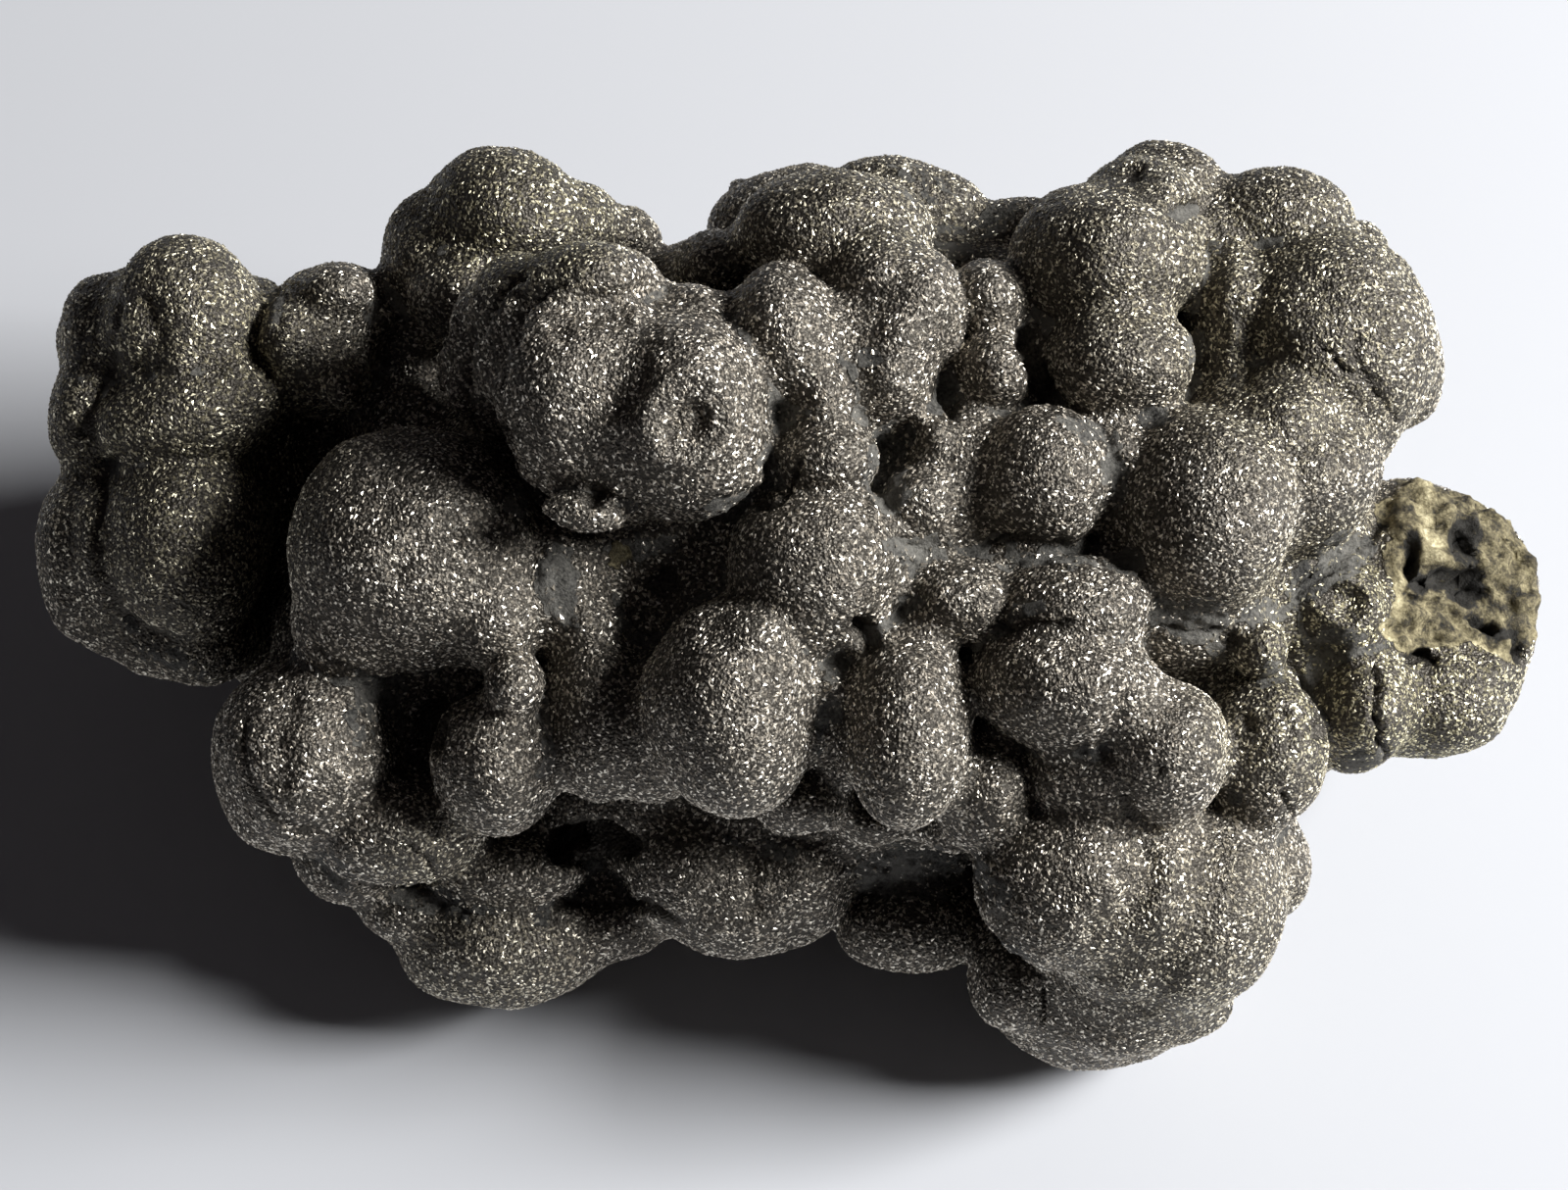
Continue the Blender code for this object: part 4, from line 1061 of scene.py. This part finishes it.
def crystal_tree(name, density, size, seed):
    """Return nodes that scatter three-sided crystal points over the stone and leave only the crystals."""
    tree = bpy.data.node_groups.new(name, "GeometryNodeTree")
    for side in ("INPUT", "OUTPUT"):
        tree.interface.new_socket("Geometry", in_out=side, socket_type="NodeSocketGeometry")
    source = add_node(tree, "NodeGroupInput")
    result = add_node(tree, "NodeGroupOutput")
    where = add_node(tree, "GeometryNodeInputNamedAttribute", data_type="FLOAT")
    dense = add_node(tree, "ShaderNodeMath", operation="MULTIPLY")
    scatter = add_node(tree, "GeometryNodeDistributePointsOnFaces")
    point = add_node(tree, "GeometryNodeMeshCone")
    sink = add_node(tree, "GeometryNodeTransform")
    lean = add_node(tree, "FunctionNodeRandomValue", data_type="FLOAT_VECTOR")
    turn = add_node(tree, "FunctionNodeRotateRotation", rotation_space="LOCAL")
    grow = add_node(tree, "FunctionNodeRandomValue", data_type="FLOAT")
    place = add_node(tree, "GeometryNodeInstanceOnPoints")
    chance = add_node(tree, "FunctionNodeRandomValue", data_type="FLOAT")
    keep = add_node(tree, "GeometryNodeStoreNamedAttribute", data_type="FLOAT", domain="INSTANCE")
    whole = add_node(tree, "GeometryNodeRealizeInstances")
    settings = [
        (where, "Name", "druse"),
        (dense, 1, density / (MM * MM)),
        (scatter, "Seed", seed),
        (point, "Vertices", 3),
        (point, "Radius Bottom", size * MM),
        (point, "Depth", size * MM * POINT_HEIGHT),
        (sink, "Translation", (0.0, 0.0, -POINT_SUNK * size * MM)),
        (lean, "Min", (-POINT_LEAN, -POINT_LEAN, 0.0)),
        (lean, "Max", (POINT_LEAN, POINT_LEAN, 2.0 * math.pi)),
        (lean, "Seed", seed),
        (grow, 2, SMALLEST_POINT),
        (grow, 3, LARGEST_POINT),
        (grow, "Seed", seed + 10),
        (chance, "Seed", seed + 20),
        (keep, "Name", "chance"),
    ]
    for node, socket, value in settings:
        node.inputs[socket].default_value = value
    wires = [
        (where, "Attribute", dense, 0),
        (source, "Geometry", scatter, "Mesh"),
        (dense, 0, scatter, "Density"),
        (point, "Mesh", sink, "Geometry"),
        (scatter, "Rotation", turn, 0),
        (lean, "Value", turn, 1),
        (scatter, "Points", place, "Points"),
        (sink, "Geometry", place, "Instance"),
        (turn, 0, place, "Rotation"),
        (grow, 1, place, "Scale"),
        (place, "Instances", keep, "Geometry"),
        (chance, 1, keep, "Value"),
        (keep, "Geometry", whole, "Geometry"),
        (whole, "Geometry", result, "Geometry"),
    ]
    for start, outlet, end, inlet in wires:
        tree.links.new(start.outputs[outlet], end.inputs[inlet])
    return tree


def druse_piece(body, name, density, size, seed):
    piece = new_object(name, body.data.copy())
    scatter = piece.modifiers.new("crystals", "NODES")
    scatter.node_group = crystal_tree(name, density, size, seed)
    apply_modifiers(piece)
    return piece


# Materials


def new_material(name):
    material = bpy.data.materials.new(name)
    material.use_nodes = True
    return material, material.node_tree, material.node_tree.nodes["Principled BSDF"]


def noise_texture(tree, place, spacing, detail=3.0, roughness=0.55):
    """Return the value of a noise whose patches are about that many millimetres across."""
    texture = add_node(tree, "ShaderNodeTexNoise")
    texture.inputs["Scale"].default_value = 1.0 / (spacing * MM)
    texture.inputs["Detail"].default_value = detail
    texture.inputs["Roughness"].default_value = roughness
    tree.links.new(place, texture.inputs["Vector"])
    return texture.outputs["Fac"]


def attribute_value(tree, name):
    return add_node(tree, "ShaderNodeAttribute", attribute_name=name).outputs["Fac"]


def combine(tree, operation, first, second):
    """Return a sum, product or other working of two values, each an output or a number."""
    node = add_node(tree, "ShaderNodeMath", operation=operation)
    for socket, value in zip(node.inputs, (first, second)):
        if isinstance(value, float):
            socket.default_value = value
        else:
            tree.links.new(value, socket)
    return node.outputs[0]


def soft_step(tree, value, start, end, low=0.0, high=1.0):
    node = add_node(tree, "ShaderNodeMapRange", interpolation_type="SMOOTHSTEP")
    tree.links.new(value, node.inputs["Value"])
    for name, number in (("From Min", start), ("From Max", end), ("To Min", low), ("To Max", high)):
        node.inputs[name].default_value = number
    return node.outputs["Result"]


def colour_ramp(tree, value, stops):
    node = add_node(tree, "ShaderNodeValToRGB")
    ramp = node.color_ramp
    while len(ramp.elements) < len(stops):
        ramp.elements.new(0.5)
    for element, (position, colour) in zip(ramp.elements, stops):
        element.position = position
        element.color = (*colour, 1.0)
    tree.links.new(value, node.inputs["Fac"])
    return node.outputs["Color"]


def mix_colours(tree, share, first, second):
    node = add_node(tree, "ShaderNodeMix", data_type="RGBA")
    for name, value in (("Factor", share), ("A", first), ("B", second)):
        tree.links.new(value, node.inputs[name])
    return node.outputs["Result"]


def stone_material():
    """Return dark stone between the crystals, grey clay in the creases and the brassy fracture, with
    painted shade in its cracks and pits.
    """
    material, tree, shader = new_material("pyrite_stone")
    plus = partial(combine, tree, "ADD")
    times = partial(combine, tree, "MULTIPLY")
    minus = partial(combine, tree, "SUBTRACT")
    stored = partial(attribute_value, tree)
    place = add_node(tree, "ShaderNodeTexCoord").outputs["Object"]
    fine, middle, broad = [noise_texture(tree, place, spacing) for spacing in PATCHES]
    clay = soft_step(tree, plus(stored("clay"), times(middle, CLAY_RAGGEDNESS)), *CLAY_BORDER)
    broken = soft_step(tree, stored("broken"), *FRACTURE_BORDER)
    dark = colour_ramp(tree, fine, STONE_COLOURS)
    film = colour_ramp(tree, times(plus(fine, broad), 0.5), CLAY_COLOURS)
    grain = plus(times(middle, MIDDLE_GRAIN), times(fine, FINE_GRAIN))
    veined = plus(grain, times(stored("vein"), VEIN_LIGHTER))
    # Painted shade: the ore is darkened where cracks and pits sink in, the more the deeper they are
    ore = colour_ramp(tree, minus(veined, times(stored("sunk"), CAVITY_PAINTED_SHADE)), ORE_COLOURS)
    skin = mix_colours(tree, clay, dark, film)
    tree.links.new(mix_colours(tree, broken, skin, ore), shader.inputs["Base Color"])
    covered = combine(tree, "MAXIMUM", clay, broken)
    metal = soft_step(tree, covered, 0.0, 1.0, STONE_METAL, 0.0)
    roughness = soft_step(tree, covered, 0.0, 1.0, STONE_ROUGHNESS, COVER_ROUGHNESS)
    tree.links.new(metal, shader.inputs["Metallic"])
    tree.links.new(roughness, shader.inputs["Roughness"])
    cells = add_node(tree, "ShaderNodeTexVoronoi")
    cells.inputs["Scale"].default_value = 1.0 / (GRAIN_SIZE * MM)
    tree.links.new(place, cells.inputs["Vector"])
    grains = times(cells.outputs["Distance"], soft_step(tree, covered, 0.0, 1.0, 1.0, COVERED_GRAINS))
    crumpling = noise_texture(tree, place, CRUMPLE_SIZE, CRUMPLE_DETAIL, CRUMPLE_SHARPNESS)
    crumpled = times(crumpling, covered)
    relief = plus(plus(grains, times(fine, FINE_RELIEF)), times(crumpled, CRUMPLE_RELIEF))
    bump = add_node(tree, "ShaderNodeBump")
    bump.inputs["Strength"].default_value = 1.0
    bump.inputs["Distance"].default_value = RELIEF_HEIGHT * MM
    tree.links.new(relief, bump.inputs["Height"])
    tree.links.new(bump.outputs["Normal"], shader.inputs["Normal"])
    return material


def crystal_material():
    """Return bright metal, silvery or brassy, some facets glossy and some dull."""
    material, tree, shader = new_material("pyrite_crystals")
    chance = attribute_value(tree, "chance")
    silver = colour_ramp(tree, chance, SILVERY)
    brass = colour_ramp(tree, chance, BRASS)
    colour = mix_colours(tree, attribute_value(tree, "brassy"), silver, brass)
    gloss = soft_step(tree, chance, 0.0, 1.0, DULL_CRYSTAL, GLOSSY_CRYSTAL)
    tree.links.new(colour, shader.inputs["Base Color"])
    tree.links.new(gloss, shader.inputs["Roughness"])
    shader.inputs["Metallic"].default_value = 1.0
    return material


def floor_material():
    material, _tree, shader = new_material("pale_floor")
    shader.inputs["Base Color"].default_value = FLOOR_COLOUR
    shader.inputs["Roughness"].default_value = FLOOR_ROUGHNESS
    return material


def give_material(piece, material):
    piece.data.materials.clear()
    piece.data.materials.append(material)


# Floor, light and camera


def add_floor():
    bm = bmesh.new()
    bmesh.ops.create_grid(bm, x_segments=1, y_segments=1, size=FLOOR_HALF_SIZE)
    floor = new_object("floor", mesh_from(bm, "floor"))
    give_material(floor, floor_material())


def aim(thing, target):
    thing.rotation_euler = (target - thing.location).to_track_quat("-Z", "Y").to_euler()


def add_lights():
    key = bpy.data.lights.new("key", "AREA")
    key.energy = LAMP_ENERGY
    key.size = LAMP_SIZE
    lamp = new_object("key", key)
    lamp.location = LAMP_PLACE
    aim(lamp, Vector((0.0, 0.0, MIDDLE_HEIGHT)))
    world = bpy.data.worlds.new("soft_room")
    world.use_nodes = True
    world.node_tree.nodes["Background"].inputs["Color"].default_value = ROOM_COLOUR
    world.node_tree.nodes["Background"].inputs["Strength"].default_value = ROOM_STRENGTH
    bpy.context.scene.world = world
    bpy.context.scene.view_settings.view_transform = "Standard"


def add_camera():
    target = Vector((MIDDLE_SHIFT[0] * MM, MIDDLE_SHIFT[1] * MM, MIDDLE_HEIGHT))
    camera = bpy.data.cameras.new("camera")
    camera.sensor_width = SENSOR_WIDTH
    camera.lens = camera.sensor_width * EYE_DISTANCE / (PICTURE_WIDTH / PIXELS_PER_MM)
    camera.shift_x = (PICTURE_WIDTH / 2.0 - PICTURE_MIDDLE[0]) / PICTURE_WIDTH
    camera.shift_y = (PICTURE_MIDDLE[1] - PICTURE_HEIGHT / 2.0) / PICTURE_WIDTH
    eye = new_object("camera", camera)
    eye.location = target + FACE.col[2] * EYE_DISTANCE * MM
    aim(eye, target)
    bpy.context.scene.camera = eye


def main():
    body = nodule_body()
    give_material(body, stone_material())
    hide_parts("pyrite")
    pieces = [body]
    crystals = crystal_material()
    for row in DRUSE:
        piece = druse_piece(body, *row)
        give_material(piece, crystals)
        pieces.append(piece)
    for piece in pieces:
        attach(piece, "root")
    add_floor()
    add_lights()
    add_camera()


main()
